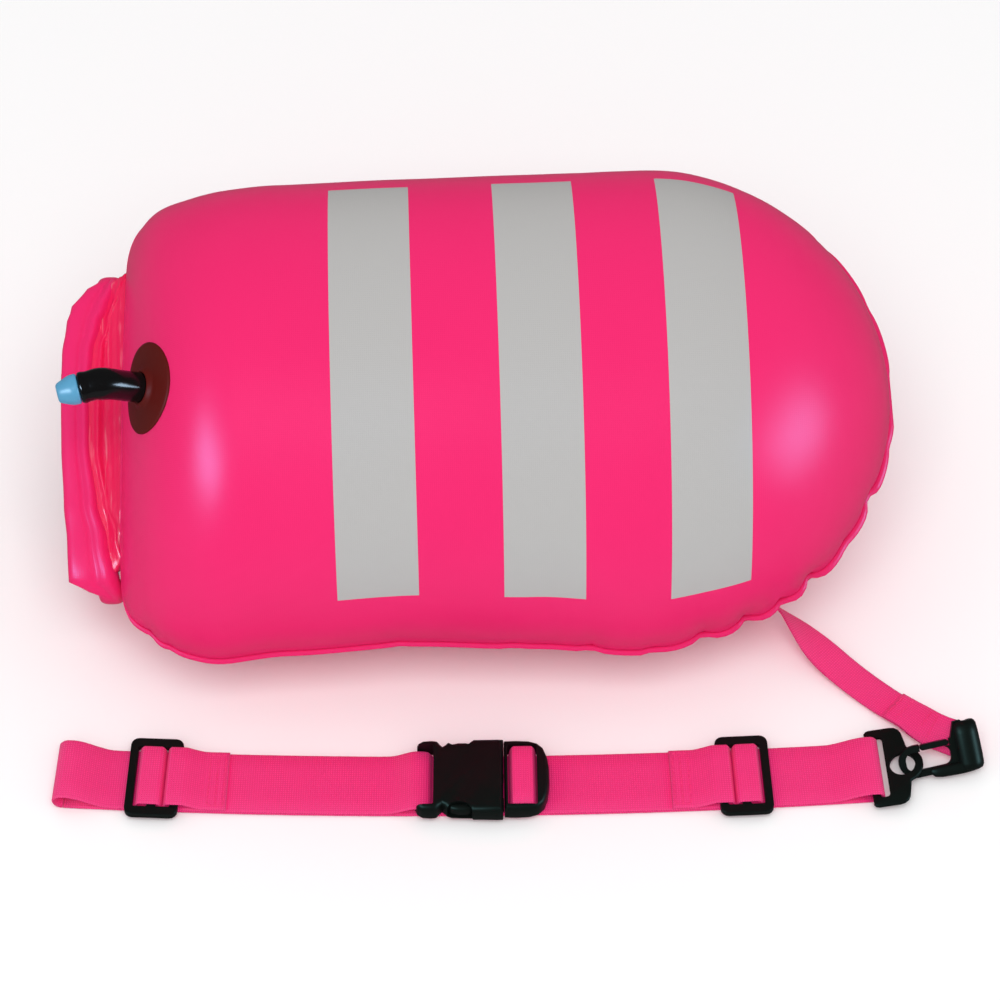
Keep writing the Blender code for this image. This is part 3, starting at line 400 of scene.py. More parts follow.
def half_depth(x):
    """Half the body's thickness square to the seam plane."""
    if x < LEFT_END_X + LEFT_DEPTH_LENGTH:
        share = (LEFT_END_X + LEFT_DEPTH_LENGTH - x) / LEFT_DEPTH_LENGTH
        return BODY_HALF_DEPTH * math.sqrt(max(END_DEPTH_SHARE ** 2, 1 - share * share))
    share = max(0.0, (x - TAIL_CENTRE_X) / TAIL_LENGTH)
    return BODY_HALF_DEPTH * math.sqrt(max(0.0, 1 - share * share))


def pucker_depth(x, u, lift):
    """How far the gathered seam pulls the skin in, at a place in the seam plane; lift is 0 at the seam."""
    if lift > PUCKER_REACH:
        return 0.0
    fade = (1 - lift / PUCKER_REACH) ** 1.6
    # A fold widens as it runs into the panel
    spread = 1 + 1.2 * lift / PUCKER_REACH
    if x > TAIL_CENTRE_X:
        angle = math.degrees(math.atan2(u / BODY_HALF_WIDTH, (x - TAIL_CENTRE_X) / TAIL_LENGTH))
        deeps = [deep * math.exp(-(abs(angle - at) / (wide * spread)) ** 1.3)
                 for at, deep, wide in TAIL_PUCKERS]
    else:
        deeps = [deep * math.exp(-(abs(x - at) / (wide * spread)) ** 1.3)
                 for at, side, deep, wide in SEAM_PUCKERS if side * u > 0]
    return fade * sum(deeps)


def seam_drift(x, side):
    """How far out of its plain outline the seam lies at x, on the far side (1) or the belt's side (-1)."""
    for (x0, far0, near0), (x1, far1, near1) in zip(SEAM_DRIFT, SEAM_DRIFT[1:]):
        if x <= x1:
            share = eased((x - x0) / (x1 - x0))
            return far0 + (far1 - far0) * share if side > 0 else near0 + (near1 - near0) * share
    return 0.0


def skin_point(x, angle, proud=0.0):
    """World point on the inflated skin, with its puckers; angle 0 is the far seam, 90 the front's middle."""
    wide = half_width(x)
    deep = half_depth(x)
    u = wide * math.cos(angle)
    lift = abs(math.sin(angle))
    pull = pucker_depth(x, u, lift) - proud
    scale = max(0.0, 1 - pull / max(wide, 0.012))
    along = x
    if x > TAIL_CENTRE_X:
        along = TAIL_CENTRE_X + (x - TAIL_CENTRE_X) * (1 - pull / TAIL_LENGTH)
    near_end = max(0.0, (LEFT_END_X + END_REACH - x) / END_REACH) ** 2.5
    along += (END_DRAWN_IN + END_LEAN * math.cos(angle)) * near_end
    drift = seam_drift(x, math.cos(angle)) * math.cos(angle) * abs(wide / BODY_HALF_WIDTH)
    point = BODY_FRAME @ Vector((along, (u + drift) * scale, deep * math.sin(angle) * scale))
    point.z = max(point.z, 0.0)
    return point


def body_skin(name, sign, finish, cad_node):
    """One welded panel, fine enough for its puckers, with length and girth in metres as its cloth measure."""
    rows = []
    cloth = []
    steps = 150
    turns = 84
    end = TAIL_X - 0.00002
    for i in range(steps + 1):
        share = 0.5 - 0.5 * math.cos(math.pi * i / steps)
        x = LEFT_END_X + (end - LEFT_END_X) * share
        row = []
        measure = []
        for k in range(turns + 1):
            # Closer together at the seams, where the puckers are
            part = k / turns
            part -= 0.09 * math.sin(4 * math.pi * part) / 2
            row.append(skin_point(x, sign * math.pi * part))
            measure.append((x, (part - 0.5) * math.pi * (BODY_HALF_WIDTH + BODY_HALF_DEPTH) / 2))
        rows.append(row)
        cloth.append(measure)
    made = sheet_mesh(name, rows, cloth, finish, cad_nodes=[cad_node], closed=False,
                      thick=0.0009)
    return made


front_skin = body_skin("front_skin", 1, front_fabric, "front_panel")
back_skin = body_skin("back_skin", -1, back_fabric, "back_panel")


def disc_on_skin(name, skin, spot, out, profile, finish, cad_node):
    """A round patch that lies on the skin: profile holds (radius, height over the skin) rings."""
    tree = BVHTree.FromPolygons([v.co for v in skin.data.vertices], [f.vertices for f in skin.data.polygons])
    out = Vector(out).normalized()
    side = out.orthogonal().normalized()
    other = out.cross(side)
    around = 72
    rows = []
    cloth = []
    for radius, height in profile:
        row = []
        for turn in turns_of(around):
            start = Vector(spot) + (side * math.cos(turn) + other * math.sin(turn)) * radius + out * 0.03
            hit = tree.ray_cast(start, -out)[0] or tree.find_nearest(start)[0]
            row.append(hit + out * height)
        rows.append(row)
        cloth.append([(radius, 0.02 * k / around) for k in range(around + 1)])
    made = sheet_mesh(name, rows, cloth, finish, cad_nodes=[cad_node])
    # The valve's disc has a hole for its tube, the tail's has none
    if profile[0][0] < 0.001:
        cap_rows(made, around, (0,))


def seam_edge():
    """The trimmed, welded lap that stands proud of the seam all the way round the skin."""
    rows = []
    cloth = []
    run = 0.0
    last = None
    steps = 130
    stations = [LEFT_END_X + (TAIL_X - 0.0006 - LEFT_END_X) * (0.5 - 0.5 * math.cos(math.pi * i / steps))
                for i in range(steps + 1)]
    for side in (0.0, math.pi):
        walk = stations if side == 0.0 else stations[::-1]
        for x in walk:
            inner = skin_point(x, side, -0.0012)
            outer = skin_point(x, side, 0.0030)
            run += (outer - last).length if last else 0.0
            last = outer
            lift = BODY_FRAME.to_3x3() @ Vector((0.0, 0.0, 0.00045))
            rows.append([inner + lift, outer + lift * 0.6, outer - lift * 0.6, inner - lift])
            cloth.append([(run, v) for v in (0.0, 0.0042, 0.005, 0.0092, 0.010)])
    sheet_mesh("seam_edge", rows, cloth, back_fabric)


seam_edge()

# Neck and rolled closure: where the neck starts, then the roll's own section, span and arms, which bend
# back behind the body through (share of the span, share of the depth) places
NECK_START = LEFT_END_X - GAP
NECK_LENGTH = 0.0105
ROLL_HALF_THICKNESS = 0.0105
ROLL_HALF_HEIGHT = 0.0068
ROLL_HALF_SPAN = 0.089
ROLL_ARM_DEPTH = 0.064
ROLL_ARM_END = 0.044
ROLL_ARM = ((0.70, 0.86), (0.88, 0.55), (0.99, 0.24), (0.90, 0.03), (0.55, 0.0))
ROLL_X = NECK_START - NECK_LENGTH - GAP - ROLL_HALF_THICKNESS


def smooth_route(points, steps):
    """Points of a Catmull-Rom curve through the route's own points."""
    p = [Vector(q) for q in points]
    p = [2 * p[0] - p[1]] + p + [2 * p[-1] - p[-2]]
    made = []
    for a, b, c, d in zip(p, p[1:], p[2:], p[3:]):
        for k in range(steps):
            t = k / steps
            made.append(0.5 * (2 * b + (c - a) * t + (2 * a - 5 * b + 4 * c - d) * t * t
                               + (3 * b - a - 3 * c + d) * t ** 3))
    made.append(p[-2])
    return made


# The roll from the front: (place along it, its outer edge, its inner edge), in metres along the body's axes
ROLL_OUTLINE = ((-0.0915, -0.2262, -0.2118), (-0.0892, -0.2345, -0.2122), (-0.0860, -0.2420, -0.2136),
                (-0.0620, -0.2424, -0.2185), (-0.0405, -0.2440, -0.2239), (-0.0076, -0.2452, -0.2278),
                (0.0250, -0.2452, -0.2276), (0.0467, -0.2444, -0.2256), (0.0640, -0.2420, -0.2215),
                (0.0740, -0.2392, -0.2165), (0.0835, -0.2325, -0.2130), (0.0890, -0.2250, -0.2110))
# The roll hangs a little towards the belt on its stiffener
ROLL_HANG = -0.0062
ROLL_BACK_EDGES = (-0.2458, -0.2252)


def roll_edges(u):
    """The roll's outer and inner edge at a place along it."""
    last = ROLL_OUTLINE[-1]
    u = min(max(u, ROLL_OUTLINE[0][0]), last[0])
    for (u0, out0, in0), (u1, out1, in1) in zip(ROLL_OUTLINE, ROLL_OUTLINE[1:]):
        if u <= u1:
            share = eased((u - u0) / (u1 - u0))
            return out0 + (out1 - out0) * share, in0 + (in1 - in0) * share
    return last[1], last[2]


# The neck film tucks under the roll, and spreads at the far corner of the mouth
NECK_TUCK = 0.0055
NECK_SPREAD = 0.0052
# It starts this far inside the body's mouth, and falls from half the mouth's depth to half the roll's
NECK_INSIDE = 0.0125
NECK_MOUTH = 0.0136
NECK_FALL = 0.0084


def gathered_neck():
    """Thin film between the body's open end and the roll: a fold beside the roll, then fine pulls."""
    rows = []
    cloth = []
    around = 360
    start = NECK_START + NECK_INSIDE
    steps = 44
    for i in range(steps + 1):
        row = []
        measure = []
        for k in range(around + 1):
            turn = 2 * math.pi * k / around
            base = NECK_HALF_WIDTH * math.cos(turn)
            x = start + (roll_edges(base * 1.08)[1] - NECK_TUCK - start) * i / steps
            fall = eased((start - 0.006 - x) / 0.0130)
            place = base + NECK_SPREAD * max(0.3, math.cos(turn)) * math.cos(turn)
            face = rounded(math.sin(turn), 0.6)
            # The fold runs along the roll's inner edge, not quite straight
            drift = 0.0012 * noise.noise(Vector((place * 30, 2.0, face)))
            fold = (x - roll_edges(place)[1] - 0.0036 - drift) / 0.0015
            ridge = 0.0022 * math.exp(-fold * fold)
            long_pull = noise.noise(Vector((x * 420, place * 22, 5.0 + face)))
            slant_pull = noise.noise(Vector((x * 160 + place * 70, place * 130, 9.0 + face)))
            fine_pull = noise.noise(Vector((x * 700 - place * 160, place * 240, 3.0 + face)))
            pulls = 0.0012 * long_pull + 0.0008 * slant_pull * (1 - fall * 0.6) + 0.0002 * fine_pull
            deep = NECK_MOUTH - NECK_FALL * fall + ridge
            deep += pulls * math.sin(math.pi * min(1.0, 0.1 + i / steps))
            measure.append((x, turn * NECK_HALF_WIDTH))
            if k < around:
                across = place + ROLL_HANG * fall + pulls * math.cos(turn)
                row.append(BODY_FRAME @ Vector((x, across, deep * face)))
        rows.append(row)
        cloth.append(measure)
    sheet_mesh("gathered_neck", rows, cloth, neck_tpu, cad_nodes=["neck_film"])


def rolled_closure():
    """The bag's mouth rolled over its stiffener: a broad flat face with cut corners, a soft lip beside the
    neck, and arms bent back behind the body."""
    half = [(ROLL_ARM_END, -ROLL_ARM_DEPTH)]
    half += [(ROLL_HALF_SPAN * a, -ROLL_ARM_DEPTH * b) for a, b in ROLL_ARM]
    right = [Vector((0.0, u, n)) for u, n in half]
    left = [Vector((0.0, -u, n)) for u, n in reversed(half)]
    face = [Vector((0.0, u, 0.0)) for u in (0.030, 0.0, -0.030)]
    path = smooth_route(right + face + left, 8)
    rows = []
    cloth = []
    around = 96
    run = 0.0
    for i, point in enumerate(path):
        run += (point - path[i - 1]).length if i else 0.0
        side = Vector((1.0, 0.0, 0.0))
        up = way_at(path, i).normalized().cross(side)
        up = up if up.z > 0 or point.z < -0.004 else -up
        # In front the roll has its own outline; round the corner it keeps the corner's, up to the clip
        place = point.y * 1.02
        corner = ROLL_OUTLINE[-1][0] if place > 0 else ROLL_OUTLINE[0][0]
        place += (corner - place) * eased(-point.z / 0.010)
        outer, inner = roll_edges(place)
        back = eased((-point.z - 0.022) / 0.030)
        outer += (ROLL_BACK_EDGES[0] - outer) * back
        inner += (ROLL_BACK_EDGES[1] - inner) * back
        middle = side * (outer + inner) / 2
        wide = (inner - outer) / 2
        front = 1 - eased(-point.z / 0.012)
        hang = Vector((0.0, ROLL_HANG * (1 - back), 0.0))
        row = []
        measure = []
        for k in range(around + 1):
            turn = 2 * math.pi * k / around
            soft = 0.00025 * noise.noise(Vector((run * 18, 1.3 * math.cos(turn), 1.3 * math.sin(turn))))
            u = (wide + soft) * rounded(math.cos(turn), 0.8)
            v = (ROLL_HALF_HEIGHT - 0.0012 + soft) * rounded(math.sin(turn), 0.7)
            if math.sin(turn) > 0:
                # The last turn's lip swells beside the crease, behind a shallow groove
                lip = (u / wide - 0.62) / 0.30
                groove = (u / wide - 0.12) / 0.16
                v += front * (0.0020 * math.exp(-lip * lip) - 0.0009 * math.exp(-groove * groove))
            measure.append((run, turn * ROLL_HALF_THICKNESS))
            if k < around:
                row.append(BODY_FRAME @ (point + hang + middle + side * u + up * v))
        rows.append(row)
        cloth.append(measure)
    sheet_mesh("rolled_closure", rows, cloth, back_fabric, cad_nodes=["closure_roll"])


gathered_neck()
rolled_closure()

# Webbing
BELT_WIDTH = 0.038
WEB_THICKNESS = 0.0014
LOW_Z = WEB_THICKNESS / 2
TOP_Z = LOW_Z + WEB_THICKNESS + GAP
SLIDER_BASE = 2 * WEB_THICKNESS + 2 * GAP
ABOVE_Z = SLIDER_BASE + WEB_THICKNESS / 2
RING_SLOT_X = 0.2117
RING_SLOT_LENGTH = 0.0052
RING_BAR = 0.0044
# The middle of the ring's bar, which the belt's right end wraps
BAR_X = RING_SLOT_X - (RING_SLOT_LENGTH + RING_BAR) / 2
WRAP_RADIUS = 0.0039
# How the upper layer comes down behind a fold, climbs over a bar, and lies as a sewn end: (share of the
# way, share of the height)
FOLD_DOWN = ((0.15, 0.99), (0.35, 0.80), (0.6, 0.40), (0.8, 0.12), (1.0, 0.0))
ARCH = ((0.06, 0.0), (0.10, 0.6), (0.17, 0.95), (0.27, 1.0), (0.73, 1.0), (0.83, 0.95), (0.90, 0.6),
        (0.94, 0.0))
SEWN = ((0.01, 0.0), (0.025, 0.6), (0.05, 0.95), (0.08, 1.0), (0.26, 1.0), (0.33, 0.9), (0.45, 0.45),
        (0.58, 0.08), (0.66, 0.0), (1.0, 0.0))
# The belt's middle line: its place, its slope, and a bow of BELT_BOW over BELT_REACH to either side
BELT_Y = -0.170
BELT_SLOPE = 0.0132
BELT_BOW = 0.008
BELT_REACH = 0.235


def belt_y(x):
    """Middle line of the belt on the floor."""
    return BELT_Y + BELT_SLOPE * x - BELT_BOW * (1 - (x / BELT_REACH) ** 2)


def belt_across(x):
    """Width direction of the belt at x."""
    slope = BELT_SLOPE + 2 * BELT_BOW * x / BELT_REACH ** 2
    return Vector((-slope, 1.0, 0.0)).normalized()


def strap(name, path, across, width, cad_nodes, body):
    """A woven strap through points: thin soft selvedges, and its length and width in metres as UVs."""
    edge = 0.0009
    half = width / 2
    thick = WEB_THICKNESS / 2
    profile = ((-half, 0.0), (-half + edge, thick), (-half / 2, thick), (0.0, thick), (half / 2, thick),
               (half - edge, thick), (half, 0.0), (half - edge, -thick), (half / 2, -thick), (0.0, -thick),
               (-half / 2, -thick), (-half + edge, -thick))
    rows = []
    cloth = []
    run = 0.0
    for i, point in enumerate(path):
        run += (point - path[i - 1]).length if i else 0.0
        side = across[i].normalized()
        up = way_at(path, i).cross(side).normalized()
        rows.append([point + side * u + up * v for u, v in profile])
        measure = [(run, u + (0.0 if v >= 0 else 0.05)) for u, v in profile]
        cloth.append(measure + [measure[0]])
    made = sheet_mesh(name, rows, cloth, strap_nylon, body, cad_nodes)
    cap_rows(made, len(profile), (0, len(rows) - 1))


def belt_strap(name, places, cad_nodes, body, fine=3):
    """Belt webbing through (x, height) places, smoothed, lying along the belt's line."""
    route = smooth_route([Vector((x, belt_y(x), z)) for x, z in places], fine)
    strap(name, route, [belt_across(p.x) for p in route], BELT_WIDTH, cad_nodes, body)


def arched(x0, x1, low, high):
    """Places of a strap that climbs over a bar."""
    return [(x0 + (x1 - x0) * s, low + (high - low) * h) for s, h in ARCH]


def half_loop(x, half_length, half_height, start):
    """Places of a strap's loop on the floor, from its top at start 1 or from its foot at start -1."""
    turns = [start * math.pi / 2 - math.pi * k / 12 for k in range(13)]
    return [(x + half_length * math.cos(t), LOW_Z + half_height * (1 + math.sin(t))) for t in turns]


# Where the belt climbs over the buckle's rail and dives into its slot: (place from the buckle's end, rise)
SOCKET_X = -0.0470
RAIL_RUN = ((-0.0190, 0.0), (-0.0120, 0.0006), (-0.0060, 0.0032), (-0.0010, 0.0052), (0.0040, 0.0054),
            (0.0070, 0.0045), (0.0082, 0.0025), (0.0090, 0.0008), (0.0108, 0.0))
# The belt's left end with its loop, the length of the slope behind a fold, and the joint of its two runs
BELT_LEFT_X = -0.2455
LOOP_DEPTH = 0.0050
LOOP_HEIGHT = 0.0115
FOLD_LENGTH = 0.026
JOIN_X = -0.030


def belt_webbing():
    """The belt's one strap: lower layer, loop at the left, flat upper layer and the wrap round the ring."""
    fold_x = BELT_LEFT_X + LOOP_DEPTH
    flat = [(fold_x + GAP + (BAR_X - fold_x - 2 * GAP) * k / 16, LOW_Z) for k in range(17)]
    belt_strap("belt_under_layer", flat, ["belt_lower"], "belt", 2)
    fold = half_loop(fold_x, LOOP_DEPTH, LOOP_HEIGHT / 2 - LOW_Z, -1)
    top = fold[-1][1]
    fold += [(fold_x + FOLD_LENGTH * s, TOP_Z + (top - TOP_Z) * h) for s, h in FOLD_DOWN]
    start = fold[-1][0]
    rise = SOCKET_X + RAIL_RUN[0][0]
    fold += [(start + (rise - start) * k / 10, TOP_Z) for k in range(1, 11)]
    fold += [(SOCKET_X + u, TOP_Z + rail) for u, rail in RAIL_RUN[1:]] + [(JOIN_X - GAP, TOP_Z)]
    belt_strap("belt_left_run", fold, ["belt_fold", "belt_upper_left"], "belt")
    high = LOW_Z + 2 * WRAP_RADIUS
    right = [(JOIN_X + (BAR_X - FOLD_LENGTH - JOIN_X) * k / 10, TOP_Z) for k in range(11)]
    right += [(BAR_X - FOLD_LENGTH * s, TOP_Z + (high - TOP_Z) * h) for s, h in reversed(FOLD_DOWN[:-1])]
    right += half_loop(BAR_X, WRAP_RADIUS, WRAP_RADIUS, 1)
    belt_strap("belt_right_run", right, ["belt_upper_right", "belt_wrap"], "belt")


# The sliders' frames and how far their sewn ends reach past them; (name, x, the sewn end's side) of each
SLIDER_LENGTH = 0.0295
SLIDER_BAR = 0.0045
SLIDER_THICKNESS = 0.0038
SLIDER_SLOT = (SLIDER_LENGTH - 3 * SLIDER_BAR) / 2
SEWN_REACH = 0.0260
SLIDERS = (("left", -0.1915, 1), ("right", 0.1352, -1))


def slider_webbing(side, x, sewn_sign):
    """Webbing that rides with a slider: the bulge over its bar and the sewn end over its rail."""
    high = SLIDER_BASE + SLIDER_THICKNESS + GAP + WEB_THICKNESS / 2
    reach = SLIDER_BAR / 2 + SLIDER_SLOT / 2 - GAP
    open_reach = SLIDER_BAR / 2 + SLIDER_SLOT - 2 * GAP
    left, right = (open_reach, reach) if sewn_sign > 0 else (reach, open_reach)
    bulge = arched(x - left, x + right, ABOVE_Z, high)
    belt_strap(f"{side}_bar_webbing", bulge, [f"slider_{side}_bulge"], f"{side}_slider")
    start = x + sewn_sign * (SLIDER_BAR / 2 + SLIDER_SLOT / 2 + GAP)
    far = x + sewn_sign * (SLIDER_LENGTH / 2 + SEWN_REACH)
    places = [(start + (far - start) * s, ABOVE_Z + (high - ABOVE_Z) * h) for s, h in SEWN]
    belt_strap(f"{side}_sewn_end", places[::sewn_sign], [f"sewn_end_{side}"], f"{side}_slider")


belt_webbing()
for slider in SLIDERS:
    slider_webbing(*slider)
# Where the buckle's prongs meet its socket, and the bar that their webbing climbs over
JOINT_X = 0.0020
PRONG_BAR_X = JOINT_X + 0.0106
PRONG_BAR_TOP = 0.0082
BULGE_HALF = 0.0080
belt_strap("buckle_bar_webbing", arched(PRONG_BAR_X - BULGE_HALF, PRONG_BAR_X + BULGE_HALF, ABOVE_Z,
                                        SLIDER_BASE + PRONG_BAR_TOP + GAP + WEB_THICKNESS / 2),
           ["buckle_bulge"], "prongs")

# The leash's middle line from the tail patch, over the floor, to the hook
LEASH_WIDTH = 0.020
LEASH_ROUTE = ((0.1387, -0.04935, 0.00948), (0.1530, -0.0640, 0.0175), (0.1655, -0.0745, 0.0140),
               (0.1826, -0.0923, 0.0075), (0.1988, -0.1067, 0.0032), (0.2160, -0.1215, 0.0022),
               (0.2300, -0.1340, 0.0050), (0.2425, -0.1465, 0.0090))
# Width directions of the leash: at the patch, flat on the floor, and at the hook's eye
LEASH_ACROSS = (Vector((-0.74964, -0.64907, -0.12946)), Vector((-0.66913, -0.74314, 0.0)),
                Vector((0.21212, -0.73915, -0.63927)))
# The stretch on which it lies flat, as shares along it
LEASH_FLAT = (0.42, 0.74)
# Between the patch and the floor the leash stands on edge: (share along it, width direction)
LEASH_ON_EDGE = (0.16, Vector((0.05, 0.62, -0.78)))
# The hook as it lies: the middle of its eye's bar, the way behind the bar and the way along the hook
EYE_MIDDLE = Vector((0.25982, -0.15764, 0.01427))
EYE_BEHIND = Vector((-0.04405, 0.64626, -0.76185))
HOOK_ALONG = Vector((0.97625, 0.18976, 0.10453))
# The strap's turn round the eye's bar
EYE_TURN = 0.0040
# The lap sewn back onto the leash: where it starts and ends, how far it lies off it, and how fast it closes
LAP_START = 0.004
LAP_END = 0.052
LAP_LIFT = 0.00155
LAP_CLOSE = 0.007


def leash_webbing():
    """One strap: from the tail patch to the hook's eye, round its bar, and sewn back onto itself."""
    out = smooth_route([Vector(p) for p in LEASH_ROUTE] + [EYE_MIDDLE + EYE_BEHIND * EYE_TURN], 6)
    across = []
    for i in range(len(out)):
        share = i / (len(out) - 1)
        if share < LEASH_ON_EDGE[0]:
            side = LEASH_ACROSS[0].lerp(-LEASH_ON_EDGE[1], eased(share / LEASH_ON_EDGE[0]))
        else:
            early = eased((share - LEASH_ON_EDGE[0]) / (LEASH_FLAT[0] - LEASH_ON_EDGE[0]))
            late = max(0.0, (share - LEASH_FLAT[1]) / (1 - LEASH_FLAT[1]))
            side = (-LEASH_ON_EDGE[1]).lerp(LEASH_ACROSS[1], early).lerp(LEASH_ACROSS[2], late)
        way = way_at(out, i).normalized()
        across.append((side - side.dot(way) * way).normalized())
    path = list(out)
    for k in range(1, 13):
        turn = math.pi * k / 12
        path.append(EYE_MIDDLE + (EYE_BEHIND * math.cos(turn) + HOOK_ALONG * math.sin(turn)) * EYE_TURN)
    sides = across + [LEASH_ACROSS[2]] * 12
    run = 0.0
    lap = []
    for i in range(len(out) - 2, 0, -1):
        run += (out[i + 1] - out[i]).length
        if run > LAP_END:
            break
        if run > LAP_START:
            over = way_at(out, i).cross(across[i]).normalized()
            over = over if over.z > 0 else -over
            gap = LAP_LIFT + (2 * EYE_TURN - LAP_LIFT) * math.exp(-run / LAP_CLOSE)
            lap.append((out[i] + over * gap, across[i]))
    path += [point for point, side in lap]
    sides += [side for point, side in lap]
    strap("leash_webbing", path, sides, LEASH_WIDTH, ["leash_strap", "leash_loop"], "buoy")
    return lap


leash_lap = leash_webbing()

TAB_WIDTH = 0.0165


def closure_tabs():
    """Short webbing tabs that hold the clip behind the body."""
    wide = BODY_FRAME.to_3x3() @ Vector((1.0, 0.0, 0.0))
    for name, low, high in (("closure_tab_far", 0.0250, 0.0437), ("closure_tab_near", -0.0437, -0.0283)):
        path = [BODY_FRAME @ Vector((ROLL_X, low + (high - low) * k / 6, -ROLL_ARM_DEPTH)) for k in range(7)]
        strap(name + "_webbing", path, [wide] * 7, TAB_WIDTH, [name], "buoy")


closure_tabs()

# Valve: its place on the skin, the way it stands out, and the way its mouthpiece points
VALVE_SPOT = Vector((-0.192812, -0.037404, 0.178688))
VALVE_OUT = Vector((-0.837772, -0.251497, 0.484652))
VALVE_FAR = Vector((-0.970340, -0.220077, -0.100035))
# The end of the tube's CAD solid, where the mouthpiece turns
VALVE_END = Vector((-0.228545, -0.047027, 0.189108))
disc_on_skin("valve_disc", front_skin, VALVE_SPOT, VALVE_OUT,
             ((0.0080, 0.0010), (0.0083, 0.0030), (0.0090, 0.0034), (0.0099, 0.0026), (0.0108, 0.0013),
              (0.0130, 0.0012), (0.0150, 0.0011), (0.0180, 0.0010), (0.0210, 0.0010), (0.0235, 0.0010),
              (0.0245, 0.0009), (0.0250, 0.0004), (0.0251, -0.0003)), valve_pvc, "valve_patch")
disc_on_skin("tail_disc", back_skin, (0.13778, -0.04871, 0.0116), (0.38137, -0.26375, -0.886),
             ((0.0004, 0.0014), (0.0060, 0.0014), (0.0120, 0.0014), (0.0180, 0.0014), (0.0225, 0.0013),
              (0.0236, 0.0010), (0.0240, 0.0002)), back_fabric, "tail_patch")


# Moulded pieces drawn in full, each in the place of its plain CAD solid
def turned_piece(name, profile, origin, axis, finish, cad_nodes, body):
    """A closed turned shape: profile holds (radius, height along the axis) points round its section."""
    axis = Vector(axis).normalized()
    side = axis.orthogonal().normalized()
    other = axis.cross(side)
    around = 64
    rows = []
    cloth = []
    for k in range(around + 1):
        turn = 2 * math.pi * k / around
        way = side * math.cos(turn) + other * math.sin(turn)
        rows.append([Vector(origin) + way * r + axis * h for r, h in profile])
        cloth.append([(r, h) for r, h in profile] + [profile[0]])
    weld(sheet_mesh(name, rows, cloth, finish, body, cad_nodes))


TUBE_RADIUS = 0.0083
TUBE_INNER = 0.0058
# How far the mouthpiece seats over the seal
MOUTH_SEAT = 0.0034


def bent_tube():
    """Smooth black tube: out of the disc, a tight elbow, and a slightly flared rim at the mouthpiece."""
    base = VALVE_SPOT + VALVE_OUT * 0.0017
    knee = VALVE_END - VALVE_FAR * 0.0155
    end = VALVE_END - VALVE_FAR * MOUTH_SEAT
    path = smooth_route([base, base.lerp(knee, 0.45), base.lerp(knee, 0.80), knee.lerp(end, 0.20),
                         knee.lerp(end, 0.55), end], 8)
    across = UP.cross(VALVE_OUT).normalized()
    around = 48
    outer = []
    inner = []
    for i, point in enumerate(path):
        share = i / (len(path) - 1)
        way = way_at(path, i).normalized()
        side = (across - across.dot(way) * way).normalized()
        up = way.cross(side)
        rim = 0.0004 * math.exp(-((share - 0.93) / 0.05) ** 2) - 0.0007 * eased((share - 0.97) / 0.03)
        knee_swell = 0.0005 * math.exp(-((share - 0.52) / 0.14) ** 2)
        for rings, radius in ((outer, TUBE_RADIUS + rim + knee_swell), (inner, TUBE_INNER)):
            rings.append([point + (side * math.cos(t) + up * math.sin(t)) * radius for t in turns_of(around)])
    rows = outer + inner[::-1] + [outer[0]]
    weld(sheet_mesh("valve_tube_skin", rows, grid_cloth(rows, 0.001, 0.001), tube_tpu,
                    cad_nodes=["valve_tube"]))


bent_tube()
MOUTH_PROFILE = ((0.0060, -0.0031), (0.0074, -0.0031), (0.0081, -0.0028), (0.0083, -0.0020), (0.0083, 0.0000),
                 (0.0081, 0.0014), (0.0073, 0.0036), (0.0062, 0.0062), (0.0056, 0.0076), (0.0050, 0.0084),
                 (0.0042, 0.0088), (0.0034, 0.0087), (0.0030, 0.0081), (0.0030, 0.0004), (0.0060, 0.0003))
turned_piece("mouthpiece_cone", MOUTH_PROFILE, VALVE_END, VALVE_FAR, mouth_blue, ["valve_mouthpiece"],
             "mouthpiece")

# The valve's spring, as its CAD solid has it
SPRING_FOOT = Vector((-0.218017, -0.044639, 0.190193))
SPRING_RADIUS = 0.0034
SPRING_WIRE = 0.00035
SPRING_LENGTH = 0.0055
SPRING_TURNS = 3


def valve_spring():
    """The steel coil under the stem's head, drawn at rest on a mesh of its own."""
    first = VALVE_FAR.cross(UP).normalized()
    second = VALVE_FAR.cross(first).normalized()
    around = 8
    steps = 24 * SPRING_TURNS
    rows = []
    for k in range(steps + 1):
        turn = 2 * math.pi * SPRING_TURNS * k / steps
        out = first * math.cos(turn) + second * math.sin(turn)
        centre = SPRING_FOOT + VALVE_FAR * (SPRING_LENGTH * k / steps) + out * SPRING_RADIUS
        rows.append([centre + (out * math.cos(a) + VALVE_FAR * math.sin(a)) * SPRING_WIRE
                     for a in turns_of(around)])
    coil = sheet_mesh("valve_spring_coil", rows, grid_cloth(rows, 0.0002, 0.0002), spring_wire,
                      cad_nodes=["valve_spring"])
    cap_rows(coil, around, (0, steps))
    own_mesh(coil)


valve_spring()


# Edges that turn by more than this stay crisp
SHARP_ANGLE = math.radians(38.0)
# Far enough up and down to cut right through the buckle
THROUGH = 0.0100


def moulded_rows(outline, rims, place):
    """Rings of an outline at (height, inset) rims; the outline runs anticlockwise, so inwards is its left."""
    rows = []
    count = len(outline)
    for height, inset in rims:
        row = []
        for k in range(count):
            before, here, after = (Vector(outline[(k + step) % count]) for step in (-1, 0, 1))
            first = (here - before).normalized()
            second = (after - here).normalized()
            inwards = Vector((-first.y - second.y, first.x + second.x)).normalized()
            spot = here + inwards * inset
            row.append(place @ Vector((spot.x, spot.y, height)))
        rows.append(row)
    return rows


